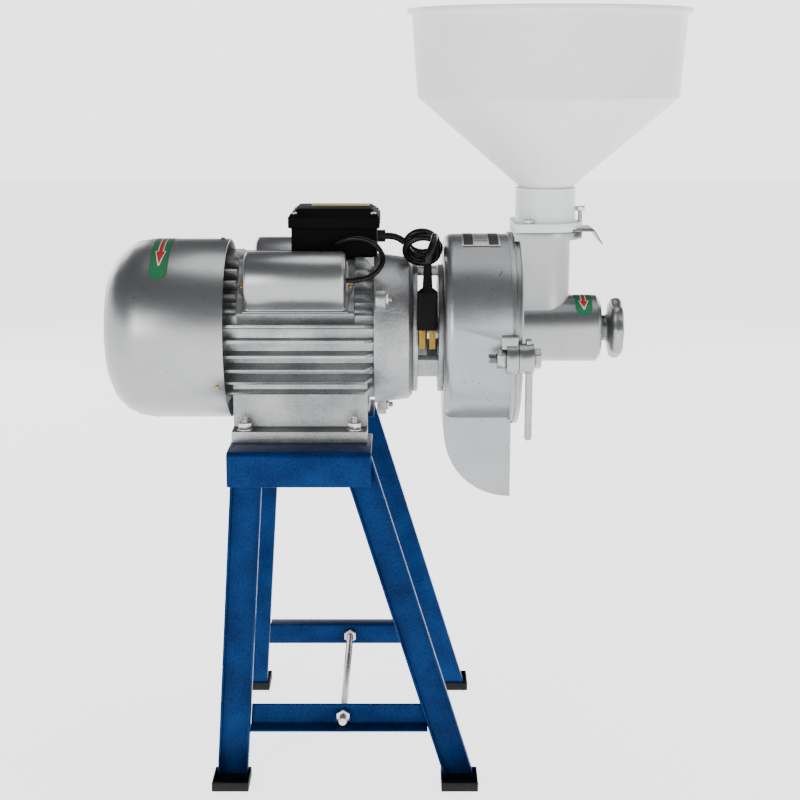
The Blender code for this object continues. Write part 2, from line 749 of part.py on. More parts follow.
def frame_ring(x, tip_radius, with_side_pads):
    """The frame's finned outline at a station: four points for each fin."""
    ring = []
    for fin in range(FIN_COUNT):
        middle = 2 * pi * (fin + 0.5) / FIN_COUNT - pi / 2
        plain = middle < FIN_FREE_ANGLE or middle > pi - FIN_FREE_ANGLE
        tip = FRAME_RADIUS if plain else tip_radius
        for radius, half in ((FRAME_RADIUS, -FIN_ROOT), (tip, -FIN_TIP), (tip, FIN_TIP), (FRAME_RADIUS, FIN_ROOT)):
            angle = middle + half / (2 * FRAME_RADIUS)
            reach = pad_radius(angle, with_side_pads) or radius
            ring.append(Vector((x, reach * cos(angle), reach * sin(angle))))
    return ring


def foot_outline(side):
    """A motor foot: a web down from the barrel and a level plate."""
    top = -FOOT_DROP + FOOT_THICKNESS
    reach = (FRAME_BORE_RADIUS + FRAME_RADIUS) / 2
    inner_rise = -(reach**2 - FOOT_WEB_INNER**2) ** 0.5
    outer_rise = -(reach**2 - FOOT_WEB_OUTER**2) ** 0.5
    outline = [
        (FOOT_OUTER, -FOOT_DROP), (FOOT_OUTER, top), (FOOT_WEB_OUTER, top), (FOOT_WEB_OUTER, outer_rise),
        (FOOT_WEB_INNER, inner_rise), (FOOT_WEB_INNER, top), (FOOT_INNER, top), (FOOT_INNER, -FOOT_DROP),
    ]
    return mirrored(outline, side)


def make_frame(machine):
    """The finned barrel with its flat pads, its bore and its two feet."""
    pad_rear, pad_front = CAP_REAR_EAR - PAD_STEP, CAP_FRONT_EAR + PAD_STEP
    end_tip = FRAME_RADIUS + FIN_END_HEIGHT
    stations = (
        (FRAME_REAR, FIN_TIP_RADIUS, False), (pad_rear - PAD_STEP, FIN_TIP_RADIUS, False),
        (pad_rear, FIN_TIP_RADIUS, True), (pad_front, FIN_TIP_RADIUS, True),
        (pad_front + PAD_STEP, FIN_TIP_RADIUS, False), (FRAME_FRONT - FIN_TAPER, FIN_TIP_RADIUS, False),
        (FRAME_FRONT, end_tip, False),
    )
    frame = add_piece("motor_frame", loft([frame_ring(*station) for station in stations]), SILVER_PAINT, machine)
    for side in (-1, 1):
        join(frame, prism(foot_outline(side), ALONG_X, FOOT_REAR, FOOT_LENGTH))
    bore = rod(FRAME_REAR - OVERRUN, FRAME_LENGTH + 2 * OVERRUN, FRAME_BORE_RADIUS, steps=LARGE_STEPS)
    holes = [bore] + [
        rod(-FOOT_DROP - OVERRUN, FOOT_THICKNESS + 2 * OVERRUN, FOOT_BOLT_RADIUS + FOOT_BOLT_CLEARANCE,
            ALONG_Z, centre=(x, side * FOOT_BOLT_OUT, 0))
        for x in FOOT_BOLT_PLACES
        for side in (-1, 1)
    ]
    cut(frame, gathered(holes))


def make_foot_bolt(name, x, side, machine):
    """A bolt up through rail and foot with its washer and nut on top, one body as tightened."""
    foot_top = -FOOT_DROP + FOOT_THICKNESS
    rail_under = -FOOT_DROP - GAP - RAIL_WALL
    place = (x, side * FOOT_BOLT_OUT, 0)
    washer = foot_top + GAP
    nut = washer + FOOT_WASHER_HEIGHT
    start = rail_under - GAP - FOOT_HEAD_HEIGHT
    shank = [
        (start, 0), (start, FOOT_BOLT_RADIUS), (washer, FOOT_BOLT_RADIUS), (washer, FOOT_WASHER_RADIUS),
        (nut, FOOT_WASHER_RADIUS), (nut, FOOT_BOLT_RADIUS), (foot_top + FOOT_BOLT_PROUD, FOOT_BOLT_RADIUS),
        (foot_top + FOOT_BOLT_PROUD, 0),
    ]
    bolt = add_piece(name, turned(shank, ALONG_Z, SMALL_STEPS, place), ZINC, machine)
    head = rod(start, FOOT_HEAD_HEIGHT, FOOT_NUT_RADIUS, ALONG_Z, HEX_STEPS, place)
    top_nut = rod(nut - MERGE * 2, FOOT_NUT_HEIGHT, FOOT_NUT_RADIUS, ALONG_Z, HEX_STEPS, place)
    join(bolt, gathered([head, top_nut]))


def make_cowl(machine):
    """A drawn cowl: straight side, round shoulder, slightly domed end with air slots."""
    inner = COWL_RADIUS - COWL_WALL
    outside = [(COWL_MOUTH, COWL_RADIUS)]
    outside += [
        (COWL_END + COWL_DOME + COWL_CORNER * (1 - cos(a)), COWL_RADIUS - COWL_CORNER * (1 - sin(a)))
        for a in [pi / 2 * (1 - i / COWL_ARC_STEPS) for i in range(COWL_ARC_STEPS + 1)]
    ]
    inside = [
        (COWL_END + COWL_DOME + COWL_WALL + (COWL_CORNER - COWL_WALL) * (1 - cos(a)),
         inner - (COWL_CORNER - COWL_WALL) * (1 - sin(a)))
        for a in [pi / 2 * i / COWL_ARC_STEPS for i in range(COWL_ARC_STEPS + 1)]
    ]
    profile = outside + [(COWL_END, 0), (COWL_END + COWL_WALL, 0)] + inside + [(COWL_MOUTH, inner)]
    cowl = add_piece("fan_cowl", turned_shell(profile), SILVER_PAINT, machine)
    ray = pi / GRILLE_RAYS
    slots = []
    for low, high in ((GRILLE_INNER, GRILLE_MIDDLE - GRILLE_BRIDGE), (GRILLE_MIDDLE, GRILLE_OUTER)):
        for turn in range(2 * GRILLE_RAYS):
            slot = block(
                (COWL_END - OVERRUN, -GRILLE_SLOT / 2, low),
                (COWL_END + COWL_CORNER, GRILLE_SLOT / 2, high),
            )
            if turn % 2 == 0 or low > GRILLE_INNER:
                slots.append(rotate_about_x(slot, ray * turn))
            else:
                slot.free()
    cut(cowl, gathered(slots))


def turned_shell(profile):
    """A cup turned about X whose section crosses the axis twice in its middle."""
    bm = bmesh.new()
    on_axis = [i for i, (_, radius) in enumerate(profile) if radius == 0]
    outer, inner = profile[: on_axis[0] + 1], profile[on_axis[1]:]
    for stretch in (outer, inner):
        verts = [bm.verts.new((along, 0, radius)) for along, radius in stretch]
        edges = [bm.edges.new(pair) for pair in zip(verts, verts[1:])]
        if stretch is outer:
            first = verts[0]
        else:
            edges.append(bm.edges.new((verts[-1], first)))
            verts.append(first)
        bmesh.ops.spin(
            bm, geom=verts + edges, cent=(0, 0, 0), axis=ALONG_X, angle=2 * pi, steps=LARGE_STEPS, use_merge=True
        )
    bmesh.ops.remove_doubles(bm, verts=bm.verts, dist=MERGE)
    return bm


def add_lugs(bell, start, side_radius, half):
    """Three drilled bolt lugs with round ends, rooted in a bell's side."""
    foot = side_radius - BELL_WALL
    outline = [(foot, -half)] + arc((LUG_CIRCLE, 0), half, -pi / 2, pi / 2, 8) + [(foot, half)]
    lugs = [rotate_about_x(prism(outline, ALONG_X, start, LUG_THICKNESS), angle) for angle in LUG_ANGLES]
    join(bell, gathered(lugs))
    holes = [
        rod(start - OVERRUN, LUG_THICKNESS + 2 * OVERRUN, LUG_HOLE_RADIUS,
            centre=(0, LUG_CIRCLE * cos(angle), LUG_CIRCLE * sin(angle)))
        for angle in LUG_ANGLES
    ]
    cut(bell, gathered(holes))


def make_front_bell(machine):
    """A cast bell, slightly conical, with a bearing nose inside the bracket."""
    face, rim = BELL_FRONT, BELL_REAR
    nose = face + BELL_NOSE_LENGTH
    bore = SHAFT_SHOULDER_RADIUS + RUNNING_GAP
    seat = BEARING_RADIUS + GAP
    profile = [
        (rim, BELL_REAR_RADIUS), (face - BELL_CORNER, BELL_FRONT_RADIUS), (face, BELL_FRONT_RADIUS - BELL_CORNER),
        (face, BELL_NOSE_RADIUS), (nose, BELL_NOSE_RADIUS - BELL_CORNER), (nose, bore),
        (FRONT_BEARING + BEARING_WIDTH + GAP, bore), (FRONT_BEARING + BEARING_WIDTH + GAP, seat),
        (FRONT_BEARING, seat), (FRONT_BEARING, BELL_NOSE_RADIUS),
        (face - BELL_WALL, BELL_NOSE_RADIUS + BELL_CORNER),
        (face - BELL_WALL, BELL_FRONT_RADIUS - 2 * BELL_WALL), (rim, BELL_REAR_RADIUS - 2 * BELL_WALL),
    ]
    bell = add_piece("front_end_bell", turned(profile), SILVER_PAINT, machine)
    add_lugs(bell, rim + LUG_SETBACK, BELL_FRONT_RADIUS, LUG_WIDTH / 2)


def make_rear_bell(machine):
    """The bell inside the cowl, with the other bearing."""
    rim, face = FRAME_REAR - GAP, FRAME_REAR - GAP - REAR_BELL_LENGTH
    seat, bore = BEARING_RADIUS + GAP, SHAFT_RADIUS + RUNNING_GAP
    profile = [
        (face, bore), (face, REAR_BELL_RADIUS - BELL_CORNER), (face + BELL_CORNER, REAR_BELL_RADIUS),
        (rim, REAR_BELL_RADIUS), (rim, REAR_BELL_RADIUS - 2 * BELL_WALL),
        (face + BELL_WALL, BELL_FRONT_RADIUS - 2 * BELL_WALL), (face + BELL_WALL, BELL_NOSE_RADIUS),
        (REAR_BEARING + BEARING_WIDTH, BELL_NOSE_RADIUS - BELL_CORNER), (REAR_BEARING + BEARING_WIDTH, seat),
        (REAR_BEARING - GAP, seat), (REAR_BEARING - GAP, bore),
    ]
    bell = add_piece("rear_end_bell", turned(profile, steps=MEDIUM_STEPS), SILVER_PAINT, machine)
    half = COWL_RADIUS - COWL_WALL - GAP - LUG_CIRCLE
    add_lugs(bell, rim - LUG_SETBACK - LUG_THICKNESS, REAR_BELL_RADIUS, half)


def make_stator(machine):
    """The stack in the frame's bore and the windings that stand out of it."""
    outer, start = FRAME_BORE_RADIUS - GAP, FRAME_REAR + STATOR_MARGIN
    length = FRAME_LENGTH - 2 * STATOR_MARGIN
    core = [(start, STATOR_BORE_RADIUS), (start, outer), (start + length, outer), (start + length, STATOR_BORE_RADIUS)]
    add_piece("stator_core", turned(core, steps=MEDIUM_STEPS), CAST_IRON, machine)
    for name, end, way in (("rear_winding", start - GAP, -1), ("front_winding", start + length + GAP, 1)):
        tip = end + way * WINDING_LENGTH
        bend = tip - way * BELL_CORNER
        ring = [
            (end, WINDING_INNER_RADIUS), (end, WINDING_OUTER_RADIUS), (bend, WINDING_OUTER_RADIUS),
            (tip, WINDING_OUTER_RADIUS - BELL_CORNER), (tip, WINDING_INNER_RADIUS + BELL_CORNER),
            (bend, WINDING_INNER_RADIUS),
        ]
        add_piece(name, turned(ring, steps=MEDIUM_STEPS), COPPER, machine)


def make_bearing(name, start, machine):
    inner = SHAFT_RADIUS + GAP
    ring = [(start, inner), (start, BEARING_RADIUS), (start + BEARING_WIDTH, BEARING_RADIUS), (start + BEARING_WIDTH, inner)]
    add_piece(name, turned(ring, steps=MEDIUM_STEPS), BARE_STEEL, machine)


def make_rotor(rotor):
    """Shaft, rotor stack and fan, all turning about the machine's axis."""
    stack = FRAME_REAR + STATOR_MARGIN
    stack_end = FRAME_FRONT - STATOR_MARGIN
    shaft = [
        (FAN_REAR - GAP, 0), (FAN_REAR - GAP, SHAFT_RADIUS), (REAR_BEARING + BEARING_WIDTH + GAP, SHAFT_RADIUS),
        (REAR_BEARING + BEARING_WIDTH + GAP, SHAFT_SHOULDER_RADIUS), (FRONT_BEARING - GAP, SHAFT_SHOULDER_RADIUS),
        (FRONT_BEARING - GAP, SHAFT_RADIUS), (SHAFT_END, SHAFT_RADIUS), (SHAFT_END, 0),
    ]
    add_piece("motor_shaft", turned(shaft, steps=MEDIUM_STEPS), BARE_STEEL, rotor)
    eye = SHAFT_SHOULDER_RADIUS + GAP
    core = [(stack, eye), (stack, ROTOR_RADIUS), (stack_end, ROTOR_RADIUS), (stack_end, eye)]
    add_piece("rotor_core", turned(core, steps=MEDIUM_STEPS), CAST_IRON, rotor)
    hub_eye, plate = SHAFT_RADIUS + GAP, FAN_REAR + FAN_PLATE
    plate_radius = FAN_RADIUS * FAN_PLATE_SHARE
    hub = [
        (FAN_REAR, hub_eye), (FAN_REAR, plate_radius), (plate, plate_radius), (plate, FAN_HUB_RADIUS),
        (FAN_REAR + FAN_HUB_LENGTH, FAN_HUB_RADIUS), (FAN_REAR + FAN_HUB_LENGTH, hub_eye),
    ]
    fan = add_piece("cooling_fan", turned(hub, steps=MEDIUM_STEPS), BLACK_PLASTIC, rotor)
    half = FAN_BLADE_THICKNESS / 2
    blades = [
        rotate_about_x(
            block((FAN_REAR + GAP, -half, FAN_HUB_RADIUS - 2 * half), (FAN_REAR + FAN_WIDTH, half, FAN_RADIUS)),
            2 * pi * blade / FAN_BLADES,
        )
        for blade in range(FAN_BLADES)
    ]
    join(fan, gathered(blades))


def tilted(bm, side):
    """Turns a shape made on a level pad at the top to the pad of a capacitor."""
    return rotate_about_x(bm, side * (CAP_ANGLE - pi / 2))


def make_capacitor(word, side, machine):
    """A can under its half-round cover, on the slanting pad of the frame."""
    pad = CAP_PAD + GAP
    low, high = CAP_REAR, CAP_REAR + CAP_LENGTH
    lip_half = CAP_RADIUS + CAP_LIP
    middle = pad + CAP_STRAIGHT
    skin = pad + CAP_WALL / 2

    def arch(x, shrink):
        radius = CAP_RADIUS - shrink
        outline = [(radius, skin)] + arc((0, middle), radius, 0, pi, 12) + [(-radius, skin)]
        return [Vector((x, y, z)) for y, z in outline]

    ease = CAP_ROUND * (1 - cos(pi / 4))
    ends = ((0, CAP_ROUND), (ease, ease), (CAP_ROUND, 0))
    rings = [arch(low + step, shrink) for step, shrink in ends]
    rings += [arch(high - step, shrink) for step, shrink in reversed(ends)]
    cover = add_piece(f"{word}_capacitor_cover", tilted(loft(rings), side), SILVER_PAINT, machine)
    ear_half = CAP_EAR_WIDTH / 2
    bulge = acos((ear_half - CAP_EAR + CAP_LIP) / ear_half)
    front_ear = arc((CAP_FRONT_EAR - ear_half, 0), ear_half, -bulge, bulge, 6)
    rear_ear = arc((CAP_REAR_EAR + ear_half, 0), ear_half, pi - bulge, pi + bulge, 6)
    plan = (
        [(high + CAP_LIP, -lip_half)] + front_ear + [(high + CAP_LIP, lip_half), (low - CAP_LIP, lip_half)]
        + rear_ear + [(low - CAP_LIP, -lip_half)]
    )
    join(cover, tilted(prism(plan, ALONG_Z, pad, CAP_WALL), side))
    inner = CAP_RADIUS - CAP_WALL
    hollow = [(inner, pad - OVERRUN)] + arc((0, middle), inner, 0, pi, 12) + [(-inner, pad - OVERRUN)]
    cut(cover, tilted(prism(hollow, ALONG_X, low + CAP_WALL, CAP_LENGTH - 2 * CAP_WALL), side))
    can_start = low + (CAP_LENGTH - CAN_LENGTH) / 2
    can = rod(can_start, CAN_LENGTH, CAN_RADIUS, steps=MEDIUM_STEPS, centre=(0, 0, pad + CAN_RADIUS + GAP))
    add_piece(f"{word}_capacitor", tilted(can, side), BLACK_PLASTIC, machine)


def make_junction_box(machine):
    """The open terminal box on the frame's top pad and its raised lid."""
    low = (BOX_REAR, -BOX_HALF_WIDTH)
    high = (BOX_REAR + BOX_LENGTH, BOX_HALF_WIDTH)
    foot = BOX_PAD + GAP
    box = add_piece(
        "junction_box", prism(rounded_rectangle(low, high, BOX_CORNER), ALONG_Z, foot, BOX_TOP - foot),
        BLACK_PLASTIC, machine,
    )
    hollow = rounded_rectangle(
        (low[0] + BOX_WALL, low[1] + BOX_WALL), (high[0] - BOX_WALL, high[1] - BOX_WALL), BOX_CORNER - BOX_WALL
    )
    cut(box, prism(hollow, ALONG_Z, foot + BOX_WALL, BOX_TOP))

    def lid_ring(shrink, z):
        outline = rounded_rectangle(
            (low[0] - LID_HANG + shrink, low[1] - LID_OVERHANG + shrink),
            (high[0] + LID_HANG - shrink, high[1] + LID_OVERHANG - shrink), BOX_CORNER,
        )
        return [Vector((x, y, z)) for x, y in outline]

    skirt = BOX_TOP + GAP
    lid = add_piece(
        "junction_lid", loft([lid_ring(0, skirt), lid_ring(0, LID_SKIRT_TOP), lid_ring(LID_SLOPE, LID_TOP)]),
        BLACK_PLASTIC, machine,
    )
    cut(lid, loft([lid_ring(LID_SLOPE, skirt - OVERRUN), lid_ring(LID_SLOPE + LID_WALL, LID_SKIRT_TOP)]))


def make_motor(machine, rotor):
    make_frame(machine)
    for word, side in (("near", -1), ("far", 1)):
        for end, x in zip(("left", "right"), FOOT_BOLT_PLACES):
            make_foot_bolt(f"{word}_{end}_foot_bolt", x, side, machine)
        make_capacitor(word, side, machine)
    make_cowl(machine)
    make_front_bell(machine)
    make_rear_bell(machine)
    make_stator(machine)
    make_bearing("front_bearing", FRONT_BEARING, machine)
    make_bearing("rear_bearing", REAR_BEARING, machine)
    make_rotor(rotor)
    make_junction_box(machine)


# Grinding head

def make_bracket(machine):
    """Two flanges held apart by three posts, open between them."""
    rear, front = BRACKET_REAR, BRACKET_FRONT

    def flange(start):
        end = start + BRACKET_FLANGE
        ring = [
            (start, BRACKET_BORE_RADIUS), (start, BRACKET_RADIUS), (end, BRACKET_RADIUS), (end, BRACKET_BORE_RADIUS),
        ]
        return turned(ring)

    bracket = add_piece("connecting_bracket", flange(rear), CAST_IRON, machine)
    join(bracket, flange(front - BRACKET_FLANGE))
    posts = [
        rotate_about_x(
            block(
                (rear + BRACKET_FLANGE / 2, -POST_WIDTH / 2, POST_RADIUS - POST_THICKNESS / 2),
                (front - BRACKET_FLANGE / 2, POST_WIDTH / 2, POST_RADIUS + POST_THICKNESS / 2),
            ),
            2 * pi * post / POST_COUNT,
        )
        for post in range(POST_COUNT)
    ]
    join(bracket, gathered(posts))


def chute_outline(inset):
    """The chute seen from the side: down the back, round the heel and out to the lip."""
    heel = -CHUTE_BACK_DROP
    back = DRUM_REAR + inset
    run = CHUTE_LIP - DRUM_REAR
    fall = CHUTE_DEPTH - CHUTE_BACK_DROP
    curve = [
        (back + run * (1 - cos(a)), heel - (fall - inset) * sin(a) ** CHUTE_ROUND_SHARE)
        for a in [pi / 2 * i / CHUTE_STEPS for i in range(CHUTE_STEPS + 1)]
    ]
    lip = CHUTE_LIP + (OVERRUN if inset else 0)
    curve[-1] = (lip, curve[-1][1])
    top = -DRUM_RADIUS / 2
    return [(back, top)] + curve + [(lip, top)]


def drum_profile():
    """The drum's section: back with a hub hole, round shoulder, side and rim."""
    back_inside = DRUM_REAR + DRUM_BACK
    bore = DRUM_BORE_RADIUS
    inner = DRUM_RADIUS - DRUM_WALL
    shoulder = [
        (DRUM_REAR + DRUM_CORNER * (1 - sin(a)), DRUM_RADIUS - DRUM_CORNER * (1 - cos(a)))
        for a in [pi / 2 * (1 - i / 4) for i in range(5)]
    ]
    rim = DRUM_FRONT - DRUM_RIM_WIDTH
    return [(DRUM_REAR, bore)] + shoulder + [
        (rim, DRUM_RADIUS), (rim, DRUM_RIM_RADIUS), (DRUM_FRONT, DRUM_RIM_RADIUS), (DRUM_FRONT, inner),
        (back_inside, inner), (back_inside, bore),
    ]


def clamp_place(side):
    return (0, side * CLAMP_OUT, -CLAMP_DROP)


def make_drum(machine):
    """The grinding drum with its spout below and a clamp lug on each side."""
    drum = add_piece("grinding_drum", turned(drum_profile()), SILVER_PAINT, machine)
    half = CHUTE_HALF_WIDTH
    join(drum, prism(chute_outline(0), ALONG_Y, -half, 2 * half))
    inner_half = half - CHUTE_WALL
    lugs = []
    for side in (-1, 1):
        place = clamp_place(side)
        arm_low, arm_high = sorted((side * (DRUM_RADIUS - DRUM_WALL / 2), side * CLAMP_OUT))
        arm_half = CLAMP_BOSS_RADIUS * CLAMP_ARM_SHARE
        lugs.append(block(
            (CLAMP_LUG_REAR + MERGE, arm_low, -CLAMP_DROP - arm_half),
            (CLAMP_LUG_FRONT - MERGE, arm_high, -CLAMP_DROP + arm_half),
        ))
        join(drum, rod(CLAMP_LUG_REAR, CLAMP_LUG_LENGTH, CLAMP_BOSS_RADIUS, steps=MEDIUM_STEPS, centre=place))
    join(drum, gathered(lugs))
    cut(drum, prism(chute_outline(CHUTE_WALL), ALONG_Y, -inner_half, 2 * inner_half))
    inside = rod(
        DRUM_REAR + DRUM_BACK, DRUM_DEPTH, DRUM_RADIUS - DRUM_WALL - GAP, steps=LARGE_STEPS
    )
    bolt_holes = [
        rod(CLAMP_LUG_REAR - OVERRUN, CLAMP_LUG_LENGTH + 2 * OVERRUN, CLAMP_BOLT_RADIUS + CLAMP_BOLT_CLEARANCE,
            centre=clamp_place(side))
        for side in (-1, 1)
    ]
    cut(drum, gathered([inside] + bolt_holes))


def make_clamp(word, side, machine):
    """A fixed bolt through the drum's lug and the swinging handle that holds the cover."""
    place = clamp_place(side)
    handle_front = CLAMP_LUG_FRONT + GAP + HANDLE_BOSS_LENGTH
    head = handle_front + GAP
    nut_end = CLAMP_LUG_REAR - GAP
    tip = nut_end - CLAMP_NUT_LENGTH - CLAMP_THREAD_PROUD
    bolt = add_piece(
        f"{word}_clamp_bolt", rod(tip, head + MERGE * 2 - tip, CLAMP_BOLT_RADIUS, centre=place), ZINC, machine
    )
    join(bolt, gathered([
        rod(head, CLAMP_HEAD_LENGTH, CLAMP_HEX_RADIUS, steps=HEX_STEPS, centre=place),
        rod(nut_end - CLAMP_NUT_LENGTH, CLAMP_NUT_LENGTH, CLAMP_HEX_RADIUS, steps=HEX_STEPS, centre=place),
    ]))

    pivot = empty(f"{word}_clamp_pivot", place)
    pivot.parent = machine
    start = CLAMP_LUG_FRONT + GAP
    handle = add_piece(
        f"{word}_clamp_handle", rod(start, HANDLE_BOSS_LENGTH, CLAMP_BOSS_RADIUS, steps=MEDIUM_STEPS), BARE_STEEL, pivot
    )
    finger_low, finger_high = sorted((0, -side * HANDLE_FINGER_REACH))
    finger_half = HANDLE_FINGER_WIDTH / 2
    join(handle, block(
        (COVER_FRONT + HANDLE_FINGER_GAP, finger_low, -finger_half),
        (start + HANDLE_BOSS_LENGTH - MERGE, finger_high, finger_half),
    ))
    rod_x = COVER_FRONT + HANDLE_FINGER_GAP + HANDLE_ROD_RADIUS
    join(handle, rod(-HANDLE_ROD_BELOW, HANDLE_ROD_BELOW + HANDLE_ROD_ABOVE, HANDLE_ROD_RADIUS, ALONG_Z,
                     centre=(rod_x, 0, 0)))
    cut(handle, rod(start - OVERRUN, HANDLE_BOSS_LENGTH + 2 * OVERRUN, CLAMP_BOLT_RADIUS + CLAMP_BOLT_CLEARANCE))


def duct_plan(radius, left):
    """A level section of the duct: straight sides and a round front end."""
    return [(left, -radius)] + arc((FEED_X, 0), radius, -pi / 2, pi / 2, 14) + [(left, radius)]


def make_front_cover(machine):
    """The throat casting: cover plate, barrel, feed duct and hopper flange in one."""
    plate = [
        (COVER_REAR, 0), (COVER_REAR, DRUM_RIM_RADIUS), (COVER_FRONT - RUNNING_GAP, DRUM_RIM_RADIUS),
        (COVER_FRONT, DRUM_RIM_RADIUS - RUNNING_GAP), (COVER_FRONT, BARREL_RADIUS + BARREL_ROUND),
        (COVER_FRONT + BARREL_ROUND, BARREL_RADIUS), (BARREL_END - BARREL_ROUND, BARREL_RADIUS),
        (BARREL_END, BARREL_RADIUS - BARREL_ROUND), (BARREL_END, 0),
    ]
    cover = add_piece("front_cover", turned(plate), SILVER_PAINT, machine)
    duct_left = COVER_REAR + COVER_THICKNESS / 2
    join(cover, prism(duct_plan(DUCT_RADIUS, duct_left), ALONG_Z, 0, DUCT_FLANGE_TOP - DUCT_FLANGE_THICKNESS / 2))
    flange = prism(
        duct_plan(DUCT_FLANGE_RADIUS, COVER_REAR + MERGE), ALONG_Z, DUCT_FLANGE_TOP - DUCT_FLANGE_THICKNESS,
        DUCT_FLANGE_THICKNESS,
    )
    join(cover, flange)
    bore_end = BARREL_END - BARREL_END_WALL
    screw_bore = SCREW_RADIUS + SCREW_CLEARANCE
    bore = [
        (COVER_REAR - OVERRUN, 0), (COVER_REAR - OVERRUN, BARREL_BORE_RADIUS), (bore_end, BARREL_BORE_RADIUS),
        (bore_end, screw_bore), (BARREL_END + OVERRUN, screw_bore), (BARREL_END + OVERRUN, 0),
    ]
    cut(cover, turned(bore, steps=MEDIUM_STEPS))
    inner_left = COVER_FRONT + RUNNING_GAP
    cut(cover, prism(duct_plan(DUCT_RADIUS - DUCT_WALL, inner_left), ALONG_Z, 0, DUCT_FLANGE_TOP + OVERRUN))


def grooved_disc(name, start, face, parent, look):
    """A grinding ring with skewed grooves in the face toward its partner."""
    end = start + DISC_THICKNESS
    ring = [(start, DISC_EYE_RADIUS), (start, DISC_RADIUS), (end, DISC_RADIUS), (end, DISC_EYE_RADIUS)]
    disc = add_piece(name, turned(ring), look, parent)
    low = face - DISC_GROOVE_DEPTH
    grooves = []
    for groove in range(DISC_GROOVES):
        length = DISC_RADIUS - DISC_EYE_RADIUS + 2 * OVERRUN
        bar = block((low, -DISC_GROOVE_WIDTH / 2, -OVERRUN), (face + DISC_GROOVE_DEPTH, DISC_GROOVE_WIDTH / 2, length))
        rotate_about_x(bar, DISC_GROOVE_SKEW)
        bmesh.ops.translate(bar, verts=bar.verts, vec=(0, 0, DISC_EYE_RADIUS - OVERRUN / 2))
        grooves.append(rotate_about_x(bar, 2 * pi * groove / DISC_GROOVES))
    cut(disc, gathered(grooves))


def feed_flight():
    """A helical flight round the feed core, as a closed ribbon."""
    steps = int(FEED_TURNS * FEED_STEPS)
    start = FEED_END - FEED_FLIGHT_THICKNESS - FEED_PITCH * FEED_TURNS - RUNNING_GAP
    root = FEED_CORE_RADIUS - FEED_FLIGHT_THICKNESS / 2
    rings = []
    for step in range(steps + 1):
        angle = 2 * pi * step / FEED_STEPS
        x = start + FEED_PITCH * step / FEED_STEPS
        ring = [
            (x, root), (x + FEED_FLIGHT_THICKNESS, root),
            (x + FEED_FLIGHT_THICKNESS, FEED_FLIGHT_RADIUS), (x, FEED_FLIGHT_RADIUS),
        ]
        rings.append([Vector((along, -radius * sin(angle), radius * cos(angle))) for along, radius in ring])
    return loft(rings)


def make_carrier(disc_frame):
    """The sliding hub and plate behind the moving disc, and the feed screw that leads on from it."""
    bore = SHAFT_RADIUS + GAP
    plate_front = CARRIER_PLATE_REAR + CARRIER_PLATE
    plate = [
        (CARRIER_REAR, bore), (CARRIER_REAR, CARRIER_HUB_RADIUS), (CARRIER_PLATE_REAR, CARRIER_HUB_RADIUS),
        (CARRIER_PLATE_REAR, CARRIER_RADIUS), (plate_front, CARRIER_RADIUS), (plate_front, bore),
    ]
    add_piece("disc_carrier", turned(plate), BARE_STEEL, disc_frame)
    profile = [
        (plate_front + GAP, bore), (plate_front + GAP, FEED_ROOT_RADIUS), (COVER_REAR, FEED_CORE_RADIUS),
        (FEED_END, FEED_CORE_RADIUS), (FEED_END, 0), (SHAFT_END + SHAFT_END_GAP, 0),
        (SHAFT_END + SHAFT_END_GAP, bore),
    ]
    bm = bmesh.new()
    verts = [bm.verts.new((along, 0, radius)) for along, radius in profile]
    ring = verts[-1:] + verts[:-2]
    edges = [bm.edges.new(pair) for pair in zip(ring, ring[1:])]
    edges.append(bm.edges.new((verts[-2], verts[-1])))
    bmesh.ops.spin(
        bm, geom=verts + edges, cent=(0, 0, 0), axis=ALONG_X, angle=2 * pi, steps=MEDIUM_STEPS, use_merge=True
    )
    bmesh.ops.remove_doubles(bm, verts=bm.verts, dist=MERGE)
    screw = add_piece("feed_screw", bm, BARE_STEEL, disc_frame)
    join(screw, feed_flight())


def make_adjuster(machine):
    """Thrust plug, adjusting screw and lobed handwheel on the barrel's end."""
    slider = empty("adjuster_slide", (0, 0, 0))
    slider.parent = machine
    plug = rod(PLUG_REAR, THRUST_PLUG_LENGTH, THRUST_PLUG_RADIUS)
    add_piece("thrust_plug", plug, BARE_STEEL, slider)
    add_piece("adjusting_screw", rod(SCREW_TIP, BARREL_END - SCREW_TIP, SCREW_RADIUS), ZINC, slider)
    hub = BARREL_END + GAP
    wheel_start = hub + WHEEL_HUB_LENGTH
    wheel_end = wheel_start + WHEEL_WIDTH
    rim = WHEEL_RADIUS - WHEEL_DISH
    profile = [
        (hub, 0), (hub, WHEEL_HUB_RADIUS), (wheel_start, WHEEL_HUB_RADIUS), (wheel_end - WHEEL_RIM, rim),
        (wheel_end - WHEEL_RIM + WHEEL_DISH, WHEEL_RADIUS), (wheel_end - WHEEL_DISH / 2, WHEEL_RADIUS),
        (wheel_end, rim), (wheel_end, WHEEL_HUB_RADIUS + WHEEL_DISH), (wheel_end - WHEEL_DISH, WHEEL_HUB_RADIUS),
        (wheel_end - WHEEL_DISH, 0),
    ]
    bm = turned(profile, steps=LARGE_STEPS)
    for vert in bm.verts:
        radius = hypot(vert.co.y, vert.co.z)
        if radius > WHEEL_HUB_RADIUS + WHEEL_DISH:
            lobe = 1 + WHEEL_LOBE_SHARE * cos(WHEEL_LOBES * atan2(vert.co.z, vert.co.y))
            vert.co.y *= lobe
            vert.co.z *= lobe
    add_piece("handwheel", bm, ZINC, slider)


# Feed

